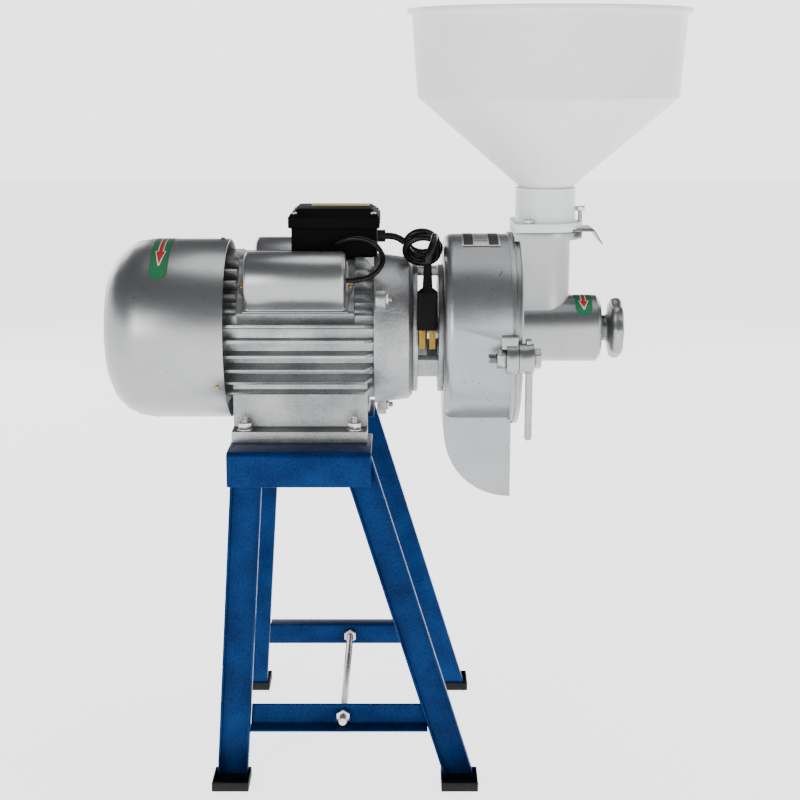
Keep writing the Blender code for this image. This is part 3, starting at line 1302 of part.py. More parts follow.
def make_gate(machine):
    """A sheet that closes the duct, its outer end bent down as a finger tab."""
    low = DUCT_FLANGE_TOP + GAP + GATE_GUIDE_GAP / 2
    high = low + GATE_THICKNESS
    left = FEED_X - DUCT_RADIUS
    bend = FEED_X + DUCT_FLANGE_RADIUS + GATE_TAIL
    tip = bend + GATE_TAB_RUN
    section = [
        (left, low), (bend, low), (tip, low - GATE_TAB_DROP), (tip + GATE_THICKNESS, low - GATE_TAB_DROP),
        (bend + GATE_THICKNESS / 2, high), (left, high),
    ]
    half = GATE_HALF_WIDTH
    gate = prism(section, ALONG_Y, -half, 2 * half)
    slide = empty("gate_slide", (0, 0, 0))
    slide.parent = machine
    add_piece("slide_gate", gate, BARE_STEEL, slide)


def make_collar(machine):
    """The plastic collar: base plate with a groove for the gate and a socket for the hopper."""
    base = DUCT_FLANGE_TOP + GAP
    top = base + COLLAR_BASE
    left = COVER_REAR
    plan = duct_plan(DUCT_FLANGE_RADIUS - COLLAR_MARGIN, left)
    collar = add_piece("hopper_collar", prism(plan, ALONG_Z, base, COLLAR_BASE), GREEN_WHITE, machine)
    centre = (FEED_X, 0, 0)
    join(collar, rod(top - COLLAR_BASE / 2, COLLAR_TOP - top + COLLAR_BASE / 2, COLLAR_RADIUS, ALONG_Z,
                     LARGE_STEPS, centre))
    groove_half = GATE_HALF_WIDTH + GATE_GUIDE_GAP
    groove_top = base + GATE_THICKNESS + GATE_GUIDE_GAP
    cut(collar, block(
        (FEED_X - DUCT_RADIUS - GATE_GUIDE_GAP, -groove_half, base - OVERRUN),
        (FEED_X + DUCT_FLANGE_RADIUS + OVERRUN, groove_half, groove_top),
    ))
    throat = DUCT_RADIUS - DUCT_WALL
    cut(collar, rod(base - OVERRUN, COLLAR_TOP, throat, ALONG_Z, MEDIUM_STEPS, centre))
    socket = COLLAR_TOP - (HOPPER_NECK_LENGTH + GAP)
    cut(collar, rod(socket, HOPPER_NECK_LENGTH + OVERRUN, HOPPER_NECK_RADIUS + GAP, ALONG_Z, LARGE_STEPS, centre))


def make_hopper(machine):
    """A thin moulded hopper: neck, cone, drum side and beaded rim."""
    wall = HOPPER_WALL
    foot = HOPPER_CONE_FOOT - HOPPER_NECK_LENGTH
    rim_low = HOPPER_TOP - RIM_HEIGHT
    slope = atan2(HOPPER_DRUM_RADIUS - HOPPER_NECK_RADIUS, HOPPER_CONE_TOP - HOPPER_CONE_FOOT)
    rise = wall * tan((pi / 2 - slope) / 2)
    profile = [
        (foot, HOPPER_NECK_RADIUS), (HOPPER_CONE_FOOT, HOPPER_NECK_RADIUS), (HOPPER_CONE_TOP, HOPPER_DRUM_RADIUS),
        (rim_low, HOPPER_MOUTH_RADIUS), (rim_low, RIM_RADIUS), (HOPPER_TOP, RIM_RADIUS),
        (HOPPER_TOP, HOPPER_MOUTH_RADIUS - wall), (HOPPER_CONE_TOP + rise, HOPPER_DRUM_RADIUS - wall),
        (HOPPER_CONE_FOOT + rise, HOPPER_NECK_RADIUS - wall), (foot, HOPPER_NECK_RADIUS - wall),
    ]
    add_piece("hopper", turned(profile, ALONG_Z, centre=(FEED_X, 0, 0)), MILK_PLASTIC, machine)


def make_head(machine, rotor):
    make_bracket(machine)
    make_drum(machine)
    for word, side in (("near", -1), ("far", 1)):
        make_clamp(word, side, machine)
    make_front_cover(machine)
    grooved_disc("fixed_disc", FIXED_DISC_REAR, FIXED_DISC_REAR, machine, CAST_IRON)
    disc_frame = empty("disc_slide", (0, 0, 0))
    disc_frame.parent = rotor
    grooved_disc("moving_disc", MOVING_DISC_REAR, MOVING_DISC_REAR + DISC_THICKNESS, disc_frame, CAST_IRON)
    make_carrier(disc_frame)
    make_adjuster(machine)
    make_gate(machine)
    make_collar(machine)
    make_hopper(machine)


# Cords

def make_cords(machine, cords):
    """The mains cord with its small coil, and the capacitor's lead, from the frame's front end."""
    gland_start = BOX_REAR + BOX_LENGTH + GAP
    gland_bore = CORD_RADIUS + GAP
    ring = [
        (gland_start, gland_bore), (gland_start, GLAND_RADIUS), (gland_start + GLAND_LENGTH, GLAND_RADIUS),
        (gland_start + GLAND_LENGTH, gland_bore),
    ]
    place = (0, GLAND_SIDE, GLAND_RISE)
    add_piece("cord_gland", turned(ring, steps=SMALL_STEPS, centre=place), BLACK_RUBBER, machine)
    tube("power_cord", CORD_ROUTE, CORD_POINTS, CORD_RADIUS, BLACK_PLASTIC, cords)
    width = COIL_TURNS * 2 * CORD_RADIUS
    inner, outer = COIL_TURN_RADIUS - CORD_RADIUS, COIL_TURN_RADIUS + CORD_RADIUS
    coil = [(-width / 2, inner), (-width / 2, outer), (width / 2, outer), (width / 2, inner)]
    add_piece("cord_coil", turned(coil, ALONG_Y, MEDIUM_STEPS), BLACK_PLASTIC, cords, COIL_CENTRE)
    tube("cord_tail", TAIL_ROUTE, CORD_POINTS, CORD_RADIUS, BLACK_PLASTIC, cords)
    tube("capacitor_lead", LEAD_ROUTE, LEAD_POINTS, LEAD_RADIUS, BLACK_PLASTIC, cords)


def make_plug(cords):
    """A moulded plug hanging blades down, its strain relief above."""
    half_x, half_y = PLUG_WIDTH / 2, PLUG_THICKNESS / 2

    def ring(shrink, z):
        outline = rounded_rectangle(
            (-half_x + shrink, -half_y + shrink / 2), (half_x - shrink, half_y - shrink / 2), PLUG_TAPER
        )
        return [Vector((x, y, z)) for x, y in outline]

    rings = [ring(0, -PLUG_LENGTH), ring(0, -PLUG_TAPER), ring(PLUG_TAPER, 0)]
    plug = add_piece("plug_body", loft(rings), BLACK_PLASTIC, cords, PLUG_PLACE)
    relief = [(-PLUG_TAPER, 0), (-PLUG_TAPER, RELIEF_RADIUS), (RELIEF_LENGTH, CORD_RADIUS + GAP), (RELIEF_LENGTH, 0)]
    join(plug, turned(relief, ALONG_Z, SMALL_STEPS))
    for word, side in (("left", -1), ("right", 1)):
        x = side * BLADE_SPACING / 2
        foot = -PLUG_LENGTH - GAP
        blade = block(
            (x - BLADE_WIDTH / 2, -BLADE_THICKNESS / 2, foot - BLADE_LENGTH),
            (x + BLADE_WIDTH / 2, BLADE_THICKNESS / 2, foot),
        )
        add_piece(f"{word}_plug_blade", blade, BRASS, cords, PLUG_PLACE)


def main():
    clear_scene()
    machine = empty("machine_axis", AXIS)
    rotor = empty("rotor_axis", (0, 0, 0))
    rotor.parent = machine
    make_stand()
    make_motor(machine, rotor)
    make_head(machine, rotor)
    cords = empty("cord_root", (FRAME_FRONT, 0, 0))
    cords.parent = machine
    make_cords(machine, cords)
    make_plug(cords)


main()
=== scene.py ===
"""Looks of a small electric disc mill on a blue steel stand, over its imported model."""
import json
from math import atan2, cos, pi, radians, sin, sqrt

import bmesh
import bpy
from mathutils import Matrix, Vector


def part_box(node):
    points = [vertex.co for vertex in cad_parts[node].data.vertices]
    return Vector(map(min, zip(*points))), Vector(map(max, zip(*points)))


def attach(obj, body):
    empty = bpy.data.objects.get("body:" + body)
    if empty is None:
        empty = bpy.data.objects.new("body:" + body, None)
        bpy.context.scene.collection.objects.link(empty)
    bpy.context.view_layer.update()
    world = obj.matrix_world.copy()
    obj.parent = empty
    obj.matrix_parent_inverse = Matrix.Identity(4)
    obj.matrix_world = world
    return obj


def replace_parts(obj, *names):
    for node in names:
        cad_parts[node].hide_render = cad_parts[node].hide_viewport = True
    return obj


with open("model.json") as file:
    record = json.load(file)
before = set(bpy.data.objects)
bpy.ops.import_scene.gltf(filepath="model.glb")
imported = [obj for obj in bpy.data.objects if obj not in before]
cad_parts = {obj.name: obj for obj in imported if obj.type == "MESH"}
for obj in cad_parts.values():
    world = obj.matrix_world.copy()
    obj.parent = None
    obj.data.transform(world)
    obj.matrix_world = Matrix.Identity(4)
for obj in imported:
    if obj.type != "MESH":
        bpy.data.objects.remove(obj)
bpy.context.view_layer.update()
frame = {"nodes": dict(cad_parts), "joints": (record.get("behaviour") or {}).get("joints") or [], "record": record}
nodes = frame["nodes"]
body_of = {
    node: body
    for body, members in frame["record"]["behaviour"]["bodies"].items()
    for node in members
}
shaft_height = next(j["pos_m"][2] for j in frame["joints"] if j["name"] == "rotor_spin")


# The photograph's viewpoint
# A long lens, level with the hopper's upper half, looking a little down on
# the side where the cord hangs.
LOOK_DOWN = 12.6
camera_data = bpy.data.cameras.new("side_view")
camera_data.lens = 67.5
camera_data.sensor_width = 36
camera = bpy.data.objects.new("side_view", camera_data)
camera.location = (0.0063, -1.539, shaft_height + 0.267)
camera.rotation_euler = (radians(90 - LOOK_DOWN), 0, 0)
bpy.context.collection.objects.link(camera)
bpy.context.scene.camera = camera


# Studio floor, walls and lights
# A white paper floor runs into white walls under a dim ceiling. The strongest
# soft box stands front left, the others front right, overhead and behind.
studio = bpy.data.worlds.new("white_room")
studio.use_nodes = True
room = studio.node_tree
room.nodes["Background"].inputs["Strength"].default_value = 2.9
wall_height = room.nodes.new("ShaderNodeSeparateXYZ")
room.links.new(room.nodes.new("ShaderNodeTexCoord").outputs["Generated"], wall_height.inputs[0])
wall_fade = room.nodes.new("ShaderNodeValToRGB")
wall_fade.color_ramp.elements[0].position = 0.05
wall_fade.color_ramp.elements[0].color = (1, 1, 1, 1)
wall_fade.color_ramp.elements[1].position = 0.28
wall_fade.color_ramp.elements[1].color = (0.05, 0.05, 0.052, 1)
room.links.new(wall_height.outputs["Z"], wall_fade.inputs["Fac"])
room.links.new(wall_fade.outputs["Color"], room.nodes["Background"].inputs["Color"])
bpy.context.scene.world = studio

ground = bmesh.new()
bmesh.ops.create_grid(ground, x_segments=1, y_segments=1, size=8)
ground_mesh = bpy.data.meshes.new("studio_floor")
ground.to_mesh(ground_mesh)
ground.free()
floor = bpy.data.objects.new("studio_floor", ground_mesh)
bpy.context.collection.objects.link(floor)
floor_paper = bpy.data.materials.new("floor_paper")
floor_paper.use_nodes = True
paper_shader = floor_paper.node_tree.nodes["Principled BSDF"]
paper_shader.inputs["Base Color"].default_value = (0.9, 0.9, 0.9, 1)
paper_shader.inputs["Roughness"].default_value = 0.95
paper_shader.inputs["Emission Color"].default_value = (1, 1, 1, 1)
paper_shader.inputs["Emission Strength"].default_value = 2.35
ground_mesh.materials.append(floor_paper)

for lamp_name, place, size, power in (
    ("front_left_softbox", (-1.3, -2.2, 1.0), 1.0, 20),
    ("front_right_fill", (1.6, -2.0, 0.9), 1.0, 9),
    ("overhead_softbox", (0.1, 0.2, 2.3), 1.0, 9),
    ("back_left_fill", (-1.4, 2.1, 1.2), 1.2, 18),
    ("back_right_fill", (1.6, 2.0, 1.1), 1.2, 14),
):
    lamp_data = bpy.data.lights.new(lamp_name, "AREA")
    lamp_data.size = size
    lamp_data.energy = power
    lamp = bpy.data.objects.new(lamp_name, lamp_data)
    lamp.location = place
    aim = Vector((0, 0, shaft_height)) - Vector(place)
    lamp.rotation_euler = aim.to_track_quat("-Z", "Y").to_euler()
    bpy.context.collection.objects.link(lamp)


# Mains cord
# A limp black lead, 7 mm across, from the gland in the terminal box to a
# moulded plug. Its slack is wound into loose turns above the bracket, and
# the tail comes forward over them and lets the plug hang.
CORD_DIAMETER = 0.007
POINT_SPACING = 0.0035
CORD_START = [
    (-0.0092, -0.0080, 0.0965), (-0.0035, -0.0080, 0.0964), (0.0025, -0.0086, 0.0952),
    (0.0088, -0.0094, 0.0920),
]
CORD_END = [
    (0.0432, -0.0375, 0.0925), (0.0424, -0.0425, 0.0972), (0.0412, -0.0490, 0.1000),
    (0.0404, -0.0565, 0.1010), (0.0394, -0.0645, 0.0978), (0.0367, -0.0706, 0.0910),
    (0.0340, -0.0732, 0.0835), (0.0334, -0.0735, 0.0770),
]
LOOP_CENTRE = Vector((0.0286, -0.0220, 0.0872))
LOOP_RADIUS = 0.0160
LOOP_DEPTH = 0.0186
LOOP_POINTS = 40
POINTS_PER_TURN = 16
EASED_POINTS = 8
FIRST_TURN = radians(212)
LOOP_LEAN = radians(38)
LOOP_SIDE = Vector((1, 0, 0))
LOOP_UP = Vector((0, -sin(LOOP_LEAN), cos(LOOP_LEAN)))
LOOP_AXIS = Vector((0, -cos(LOOP_LEAN), -sin(LOOP_LEAN)))
SIDE_SWAY = 0.0020
UP_SWAY = 0.0009


def curve_through(points, spacing):
    """Even points along a smooth curve through a route's own points."""
    padded = [points[0] * 2 - points[1]] + points + [points[-1] * 2 - points[-2]]
    fine_steps = 12
    dense = []
    for before, start, end, after in zip(padded, padded[1:], padded[2:], padded[3:]):
        for step in range(fine_steps):
            t = step / fine_steps
            dense.append(0.5 * (
                2 * start + (end - before) * t + (2 * before - 5 * start + 4 * end - after) * t**2
                + (3 * start - before - 3 * end + after) * t**3
            ))
    dense.append(points[-1])
    length = sum((b - a).length for a, b in zip(dense, dense[1:]))
    count = max(2, round(length / spacing))
    even, walked, target = [dense[0]], 0, length / count
    for a, b in zip(dense, dense[1:]):
        step = (b - a).length
        while walked + step >= target * len(even) and len(even) < count:
            even.append(a.lerp(b, (target * len(even) - walked) / step))
        walked += step
    return even + [dense[-1]]


def laid_cord(name, route, diameter, spacing):
    """A round cord as a curve object on one open spline."""
    even = curve_through(route, spacing)
    data = bpy.data.curves.new(name, "CURVE")
    data.dimensions = "3D"
    data.bevel_depth = diameter / 2
    data.bevel_resolution = 5
    data.use_fill_caps = True
    data.resolution_u = 1
    spline = data.splines.new("POLY")
    spline.points.add(len(even) - 1)
    for knot, point in zip(spline.points, even):
        knot.co = (*point, 1)
    spline.use_smooth = True
    cord = bpy.data.objects.new(name, data)
    bpy.context.collection.objects.link(cord)
    return cord


loops = []
last_step = LOOP_POINTS - 1
for step in range(LOOP_POINTS):
    turn = FIRST_TURN + 2 * pi * step / POINTS_PER_TURN
    ease = min(1, step / EASED_POINTS, (last_step - step) / EASED_POINTS)
    sway = LOOP_SIDE * SIDE_SWAY * sin(turn * 0.55 + 1.2) + LOOP_UP * UP_SWAY * cos(turn * 0.8)
    along = LOOP_AXIS * LOOP_DEPTH * (step / last_step - 0.5)
    ring = LOOP_RADIUS * (LOOP_SIDE * cos(turn) + LOOP_UP * sin(turn))
    loops.append(LOOP_CENTRE + ease * sway + along + ring)
lift = Vector((0, 0, shaft_height))
cord_route = [Vector(point) + lift for point in [*CORD_START, *loops, *CORD_END]]
mains_cord = laid_cord("mains_cord", cord_route, CORD_DIAMETER, POINT_SPACING)


def coated(
    name, light, dark, metallic, roughness, grain, relief, patch=14.0, spread=0.08, specular=0.5, scuff=0.0,
):
    """A coat that drifts in soft patches, with a fine grain in its gloss and relief, and dark scuffs."""
    coat = bpy.data.materials.new(name)
    coat.use_nodes = True
    tree = coat.node_tree
    shader = tree.nodes["Principled BSDF"]
    shader.inputs["Metallic"].default_value = metallic
    shader.inputs["Specular IOR Level"].default_value = specular
    place = tree.nodes.new("ShaderNodeTexCoord").outputs["Object"]

    def noise(scale, detail, twist=0.0):
        cloud = tree.nodes.new("ShaderNodeTexNoise")
        cloud.inputs["Scale"].default_value = scale
        cloud.inputs["Detail"].default_value = detail
        cloud.inputs["Distortion"].default_value = twist
        tree.links.new(place, cloud.inputs["Vector"])
        return cloud.outputs["Fac"]

    def ramp(value, low, low_colour, high, high_colour):
        scale = tree.nodes.new("ShaderNodeValToRGB")
        scale.color_ramp.elements[0].position = low
        scale.color_ramp.elements[0].color = (*low_colour, 1)
        scale.color_ramp.elements[1].position = high
        scale.color_ramp.elements[1].color = (*high_colour, 1)
        tree.links.new(value, scale.inputs["Fac"])
        return scale.outputs["Color"]

    mixed = tree.nodes.new("ShaderNodeMix")
    mixed.inputs["Factor"].default_value = 0.45
    tree.links.new(noise(patch, 3), mixed.inputs[2])
    fine = noise(grain, 4)
    tree.links.new(fine, mixed.inputs[3])
    colour = ramp(mixed.outputs[0], 0.38, dark, 0.62, light)
    if scuff:
        marks = ramp(noise(85, 8, 2.4), 0.70, (1, 1, 1), 0.72, (1 - scuff,) * 3)
        dulled = tree.nodes.new("ShaderNodeMix")
        dulled.data_type = "RGBA"
        dulled.blend_type = "MULTIPLY"
        dulled.inputs[0].default_value = 1
        tree.links.new(colour, dulled.inputs[6])
        tree.links.new(marks, dulled.inputs[7])
        colour = dulled.outputs[2]
    tree.links.new(colour, shader.inputs["Base Color"])
    gloss = tree.nodes.new("ShaderNodeMapRange")
    gloss.inputs["To Min"].default_value = roughness - spread
    gloss.inputs["To Max"].default_value = roughness + spread
    tree.links.new(noise(grain / 6, 5), gloss.inputs["Value"])
    tree.links.new(gloss.outputs["Result"], shader.inputs["Roughness"])
    bump = tree.nodes.new("ShaderNodeBump")
    bump.inputs["Strength"].default_value = relief
    bump.inputs["Distance"].default_value = 0.0006
    tree.links.new(fine, bump.inputs["Height"])
    tree.links.new(bump.outputs["Normal"], shader.inputs["Normal"])
    return coat


cord_sheath = coated(
    "cord_sheath", (0.006, 0.006, 0.0065), (0.003, 0.003, 0.0033),
    metallic=0, roughness=0.26, grain=700, relief=0.08, specular=0.16,
)
mains_cord.data.materials.append(cord_sheath)
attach(mains_cord, "base")
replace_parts(mains_cord, "power_cord", "cord_coil", "cord_tail")


def coat_node(node, coat):
    """Gives a CAD piece that stays as it is its finish."""
    nodes[node].data.materials.clear()
    nodes[node].data.materials.append(coat)


def shown(name, bm, coat, body, crease=32.0):
    """Puts a finished shape in the scene, with its coat and the body it moves with."""
    mesh = bpy.data.meshes.new(name)
    bm.to_mesh(mesh)
    bm.free()
    mesh.shade_smooth()
    mesh.set_sharp_from_angle(angle=radians(crease))
    mesh.materials.append(coat)
    piece = bpy.data.objects.new(name, mesh)
    bpy.context.collection.objects.link(piece)
    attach(piece, body)
    return piece


def dressed(node, coat, edge, crease=32.0):
    """A finer copy of a CAD piece in its place: flats cleared and corners rounded."""
    bm = bmesh.new()
    bm.from_mesh(nodes[node].data)
    bmesh.ops.remove_doubles(bm, verts=bm.verts, dist=0.00002)
    bmesh.ops.dissolve_limit(bm, angle_limit=radians(1), verts=bm.verts, edges=bm.edges)
    corners = [
        side for side in bm.edges
        if len(side.link_faces) == 2 and side.calc_face_angle() > radians(crease)
    ]
    bmesh.ops.bevel(
        bm, geom=corners, offset=edge, segments=2, profile=0.5, affect="EDGES", material=-1,
        clamp_overlap=True,
    )
    piece = shown(f"{node}_finished", bm, coat, body_of[node], crease)
    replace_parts(piece, node)
    return piece


gland_coat = coated(
    "gland_rubber", (0.012, 0.012, 0.012), (0.006, 0.006, 0.006),
    metallic=0, roughness=0.5, grain=500, relief=0.2, specular=0.15,
)
coat_node("cord_gland", gland_coat)
plug_coat = coated(
    "plug_moulding", (0.0040, 0.0040, 0.0045), (0.002, 0.002, 0.0022),
    metallic=0, roughness=0.45, grain=600, relief=0.15, specular=0.05,
)
plug = dressed("plug_body", plug_coat, 0.0008)
brass_coat = coated(
    "plug_brass", (0.26, 0.155, 0.028), (0.18, 0.105, 0.018),
    metallic=0.9, roughness=0.35, grain=300, relief=0.05,
)
for blade in ("left_plug_blade", "right_plug_blade"):
    dressed(blade, brass_coat, 0.0005)


# Stand
# Two bent steel rails, four splayed channel legs and two cross bars, welded
# and sprayed a deep metallic blue, with moulded caps on the feet.
RAIL_BEND = 0.0022
BAR_EDGE = 0.0010
CORNERS = ("near_left", "near_right", "far_left", "far_right")
blue_enamel = coated(
    "blue_enamel", (0.002, 0.028, 0.115), (0.001, 0.011, 0.056),
    metallic=0.25, roughness=0.36, grain=420, relief=0.35, patch=26.0, specular=0.06, scuff=0.35,
)
for part in ("near_top_rail", "far_top_rail"):
    dressed(part, blue_enamel, RAIL_BEND)
for part in (*(f"{corner}_leg" for corner in CORNERS), "near_cross_bar", "far_cross_bar"):
    dressed(part, blue_enamel, BAR_EDGE)
foot_moulding = coated(
    "foot_moulding", (0.010, 0.010, 0.011), (0.005, 0.005, 0.005),
    metallic=0, roughness=0.6, grain=350, relief=0.3, specular=0.15,
)
for corner in CORNERS:
    dressed(f"{corner}_foot_cap", foot_moulding, 0.0006)


# Tie rod
# A zinc plated rod holds the two cross bars together, threaded at both ends
# and nutted on both bars.
M8_PITCH = 0.00125
THREAD_DEPTH = 0.55
FINE_CREASE = 20
bright_zinc = coated(
    "bright_zinc", (0.62, 0.62, 0.61), (0.42, 0.42, 0.42),
    metallic=0.95, roughness=0.26, grain=420, relief=0.12,
)


def lathed(profile, steps=24):
    """A round shape from a profile of (radius, height) points, turned about its own axis."""
    bm = bmesh.new()
    chain = [bm.verts.new((radius, 0, height)) for radius, height in profile]
    sides = [bm.edges.new(pair) for pair in zip(chain, chain[1:])]
    bmesh.ops.spin(
        bm, geom=chain + sides, cent=(0, 0, 0), axis=(0, 0, 1), angle=2 * pi, steps=steps, use_merge=True
    )
    bmesh.ops.remove_doubles(bm, verts=bm.verts, dist=0.000001)
    bmesh.ops.recalc_face_normals(bm, faces=bm.faces)
    return bm


def aimed(bm, place, direction):
    """Stands a shape made along +Z on a place, pointing along a direction."""
    turn = Vector(direction).to_track_quat("Z", "Y").to_matrix().to_4x4()
    bmesh.ops.transform(bm, matrix=Matrix.Translation(Vector(place)) @ turn, verts=bm.verts)
    return bm


def thread(radius, length, pitch):
    """A bolt's end with its thread as even ridges and a chamfered tip."""
    root = radius - THREAD_DEPTH * pitch
    profile = [(0, 0), (root, 0)]
    for ridge in range(int(length / pitch)):
        profile += [(radius, (ridge + 0.5) * pitch), (root, (ridge + 1) * pitch)]
    return lathed(profile + [(root * 0.92, length), (0, length)])


rod_low, rod_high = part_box("tie_rod")
rod_x = (rod_low[0] + rod_high[0]) / 2
rod_z = (rod_low[2] + rod_high[2]) / 2
dressed("tie_rod", bright_zinc, 0.0002)
for side in (-1, 1):
    start = (rod_x, side * (rod_high[1] - 0.0104), rod_z)
    tip = aimed(thread(0.00425, 0.0107, M8_PITCH), start, (0, side, 0))
    shown(f"{'near' if side < 0 else 'far'}_tie_rod_thread", tip, bright_zinc, "base", crease=FINE_CREASE)


# Motor frame
# One iron casting with thin fins along it, flats for the covers and two
# feet, sand rough under its silver paint. Four bolts hold it on the rails.
FOOT_BOLT_HEXAGON = 0.0074
FOOT_STUD = 0.0135
WASHER = 0.0011
cast_spray = coated(
    "cast_spray", (0.36, 0.365, 0.37), (0.22, 0.225, 0.23),
    metallic=0.88, roughness=0.38, grain=520, relief=0.50, patch=30.0, spread=0.08, scuff=0.5,
)
dressed("motor_frame", cast_spray, 0.0004)


def hexagon(radius, height):
    """A hexagon nut or bolt head with eased corners."""
    bm = bmesh.new()
    bmesh.ops.create_cone(bm, segments=6, radius1=radius, radius2=radius, depth=height, cap_ends=True)
    bmesh.ops.translate(bm, vec=(0, 0, height / 2), verts=bm.verts)
    bmesh.ops.bevel(
        bm, geom=list(bm.edges), offset=radius * 0.07, segments=2, profile=0.5, affect="EDGES", material=-1,
        clamp_overlap=True,
    )
    return bm


for part in (f"{corner}_foot_bolt" for corner in CORNERS):
    low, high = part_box(part)
    middle = ((low[0] + high[0]) / 2, (low[1] + high[1]) / 2)
    nut_base = high[2] - FOOT_STUD
    shank = aimed(
        lathed([(0, 0), (0.0038, 0), (0.0038, nut_base - low[2]), (0, nut_base - low[2])]),
        (*middle, low[2]), (0, 0, 1),
    )
    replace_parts(shown(f"{part}_shank", shank, bright_zinc, "base"), part)
    stud = aimed(thread(0.0039, FOOT_STUD - 0.0001, M8_PITCH), (*middle, nut_base), (0, 0, 1))
    shown(f"{part}_stud", stud, bright_zinc, "base", crease=FINE_CREASE)
    washer = lathed([
        (0.0041, 0), (0.0081, 0), (0.0083, 0.0003), (0.0082, 0.0010), (0.0041, WASHER), (0.0041, 0),
    ])
    shown(f"{part}_washer", aimed(washer, (*middle, nut_base), (0, 0, 1)), bright_zinc, "base")
    nut = aimed(hexagon(FOOT_BOLT_HEXAGON, 0.0062), (*middle, nut_base + WASHER), (0, 0, 1))
    shown(f"{part}_nut", nut, bright_zinc, "base")
    head = aimed(hexagon(FOOT_BOLT_HEXAGON, 0.0050), (*middle, low[2]), (0, 0, 1))
    shown(f"{part}_head", head, bright_zinc, "base")


# Fan cowl and arrow labels
# A deep drawn steel cap over the fan, held by three yellow zinc screws near
# its mouth. It and the feed barrel carry a green label with a red arrow each.
silver_spray = coated(
    "silver_spray", (0.35, 0.355, 0.36), (0.27, 0.275, 0.28),
    metallic=0.92, roughness=0.31, grain=950, relief=0.10, patch=9.0, spread=0.05, scuff=0.45,
)
dressed("fan_cowl", silver_spray, 0.0004)
yellow_zinc = coated(
    "yellow_zinc", (0.44, 0.30, 0.12), (0.30, 0.19, 0.07),
    metallic=0.9, roughness=0.32, grain=500, relief=0.1,
)


def domed_screw(radius, height):
    """A domed screw head with a sunk round drive."""
    return lathed([
        (0, height * 0.62), (radius * 0.22, height * 0.62), (radius * 0.34, height),
        (radius * 0.70, height * 0.86), (radius * 0.94, height * 0.45), (radius, 0), (0, 0),
    ], steps=20)


COWL_RADIUS = 0.0926
COWL_SCREWS_ALONG = -0.1752
BARREL_LABEL_RADIUS = 0.0344
for name, angle in (("top", 90), ("near", -30), ("far", 210)):
    outward = Vector((0, -cos(radians(angle)), sin(radians(angle))))
    seat = Vector((COWL_SCREWS_ALONG, 0, shaft_height)) + outward * (COWL_RADIUS - 0.0001)
    shown(f"{name}_cowl_screw", aimed(domed_screw(0.0027, 0.0016), seat, outward), yellow_zinc, "base")


def wrapped(bm, radius):
    """Lays a flat shape of (along, round) lengths on a cylinder about the shaft, from its top."""
    for vert in bm.verts:
        along, bow, proud = vert.co
        turn = bow / radius
        reach = radius + proud
        vert.co = (along, -reach * sin(turn), shaft_height + reach * cos(turn))
    bmesh.ops.recalc_face_normals(bm, faces=bm.faces)
    if sum(face.normal.dot(face.calc_center_median() - lift) for face in bm.faces) < 0:
        bmesh.ops.reverse_faces(bm, faces=bm.faces)
    return bm


def label_shape(middle, width, start, length, proud, round_end=True):
    """A narrow label as a fine grid, with a half round or a square lower end."""
    bm = bmesh.new()
    bmesh.ops.create_grid(bm, x_segments=14, y_segments=28, size=0.5)
    half = width / 2
    for vert in bm.verts:
        across, down = vert.co.x, vert.co.y + 0.5
        cut_back = half - sqrt(max(0, half**2 - (across * width) ** 2)) if round_end else 0
        vert.co = (middle + across * width, start + down * (length - cut_back), proud)
    return bm


def arrow_shape(middle, stem, head, start, length, proud, grow=0.0):
    """A straight arrow that points down the label."""
    bm = bmesh.new()
    neck = length * 0.68
    for top, bottom, first, last in ((-grow, neck, stem, stem), (neck - grow, length + 2 * grow, head, 0)):
        strip = bmesh.ops.create_grid(bm, x_segments=4, y_segments=8, size=0.5)
        for vert in strip["verts"]:
            down = vert.co.y + 0.5
            width = first + (last - first) * down + 2 * grow
            vert.co = (middle + vert.co.x * width, start + top + down * (bottom - top), proud)
    return bm


label_green, label_white, label_red = (
    coated(name, light, dark, metallic=0, roughness=0.4, grain=300, relief=0.02, specular=0.3)
    for name, light, dark in (
        ("label_green", (0.012, 0.150, 0.060), (0.008, 0.115, 0.045)),
        ("label_white", (0.80, 0.81, 0.80), (0.70, 0.71, 0.70)),
        ("label_red", (0.50, 0.012, 0.014), (0.40, 0.008, 0.010)),
    )
)
for place, middle, radius, width, start, length in (
    ("cowl", -0.2335, COWL_RADIUS, 0.0185, -0.014, 0.0935),
    ("barrel", 0.1943, BARREL_LABEL_RADIUS, 0.0175, -0.008, 0.0434),
):
    label = wrapped(label_shape(middle, width, start, length, proud=0.00012), radius)
    shown(f"{place}_label", label, label_green, "base")
    top = start + length * 0.10
    for finish, coat, proud, grow in (
        ("edge", label_white, 0.00020, 0.0008), ("arrow", label_red, 0.00028, 0.0),
    ):
        mark = arrow_shape(middle, width * 0.22, width * 0.50, top, length * 0.70, proud, grow)
        shown(f"{place}_label_{finish}", wrapped(mark, radius), coat, "base")


# End bells
# Two rough cast covers carry the bearings. Three long bolts run from bell to
# bell through their lugs, nutted at the front.
LUG_CIRCLE = 0.0816
LUG_FRONT = -0.00825
M6_PITCH = 0.001
for part in ("front_end_bell", "rear_end_bell"):
    dressed(part, cast_spray, 0.0006)
for name, angle in (("bottom", -90), ("near", 30), ("far", 150)):
    outward = Vector((0, -cos(radians(angle)), sin(radians(angle))))
    seat = Vector((LUG_FRONT, 0, shaft_height)) + outward * LUG_CIRCLE
    shown(f"{name}_bell_nut", aimed(hexagon(0.0056, 0.0030), seat, (1, 0, 0)), bright_zinc, "base")
    stud = aimed(thread(0.0031, 0.0072, M6_PITCH), seat, (1, 0, 0))
    shown(f"{name}_bell_stud", stud, bright_zinc, "base", crease=FINE_CREASE)


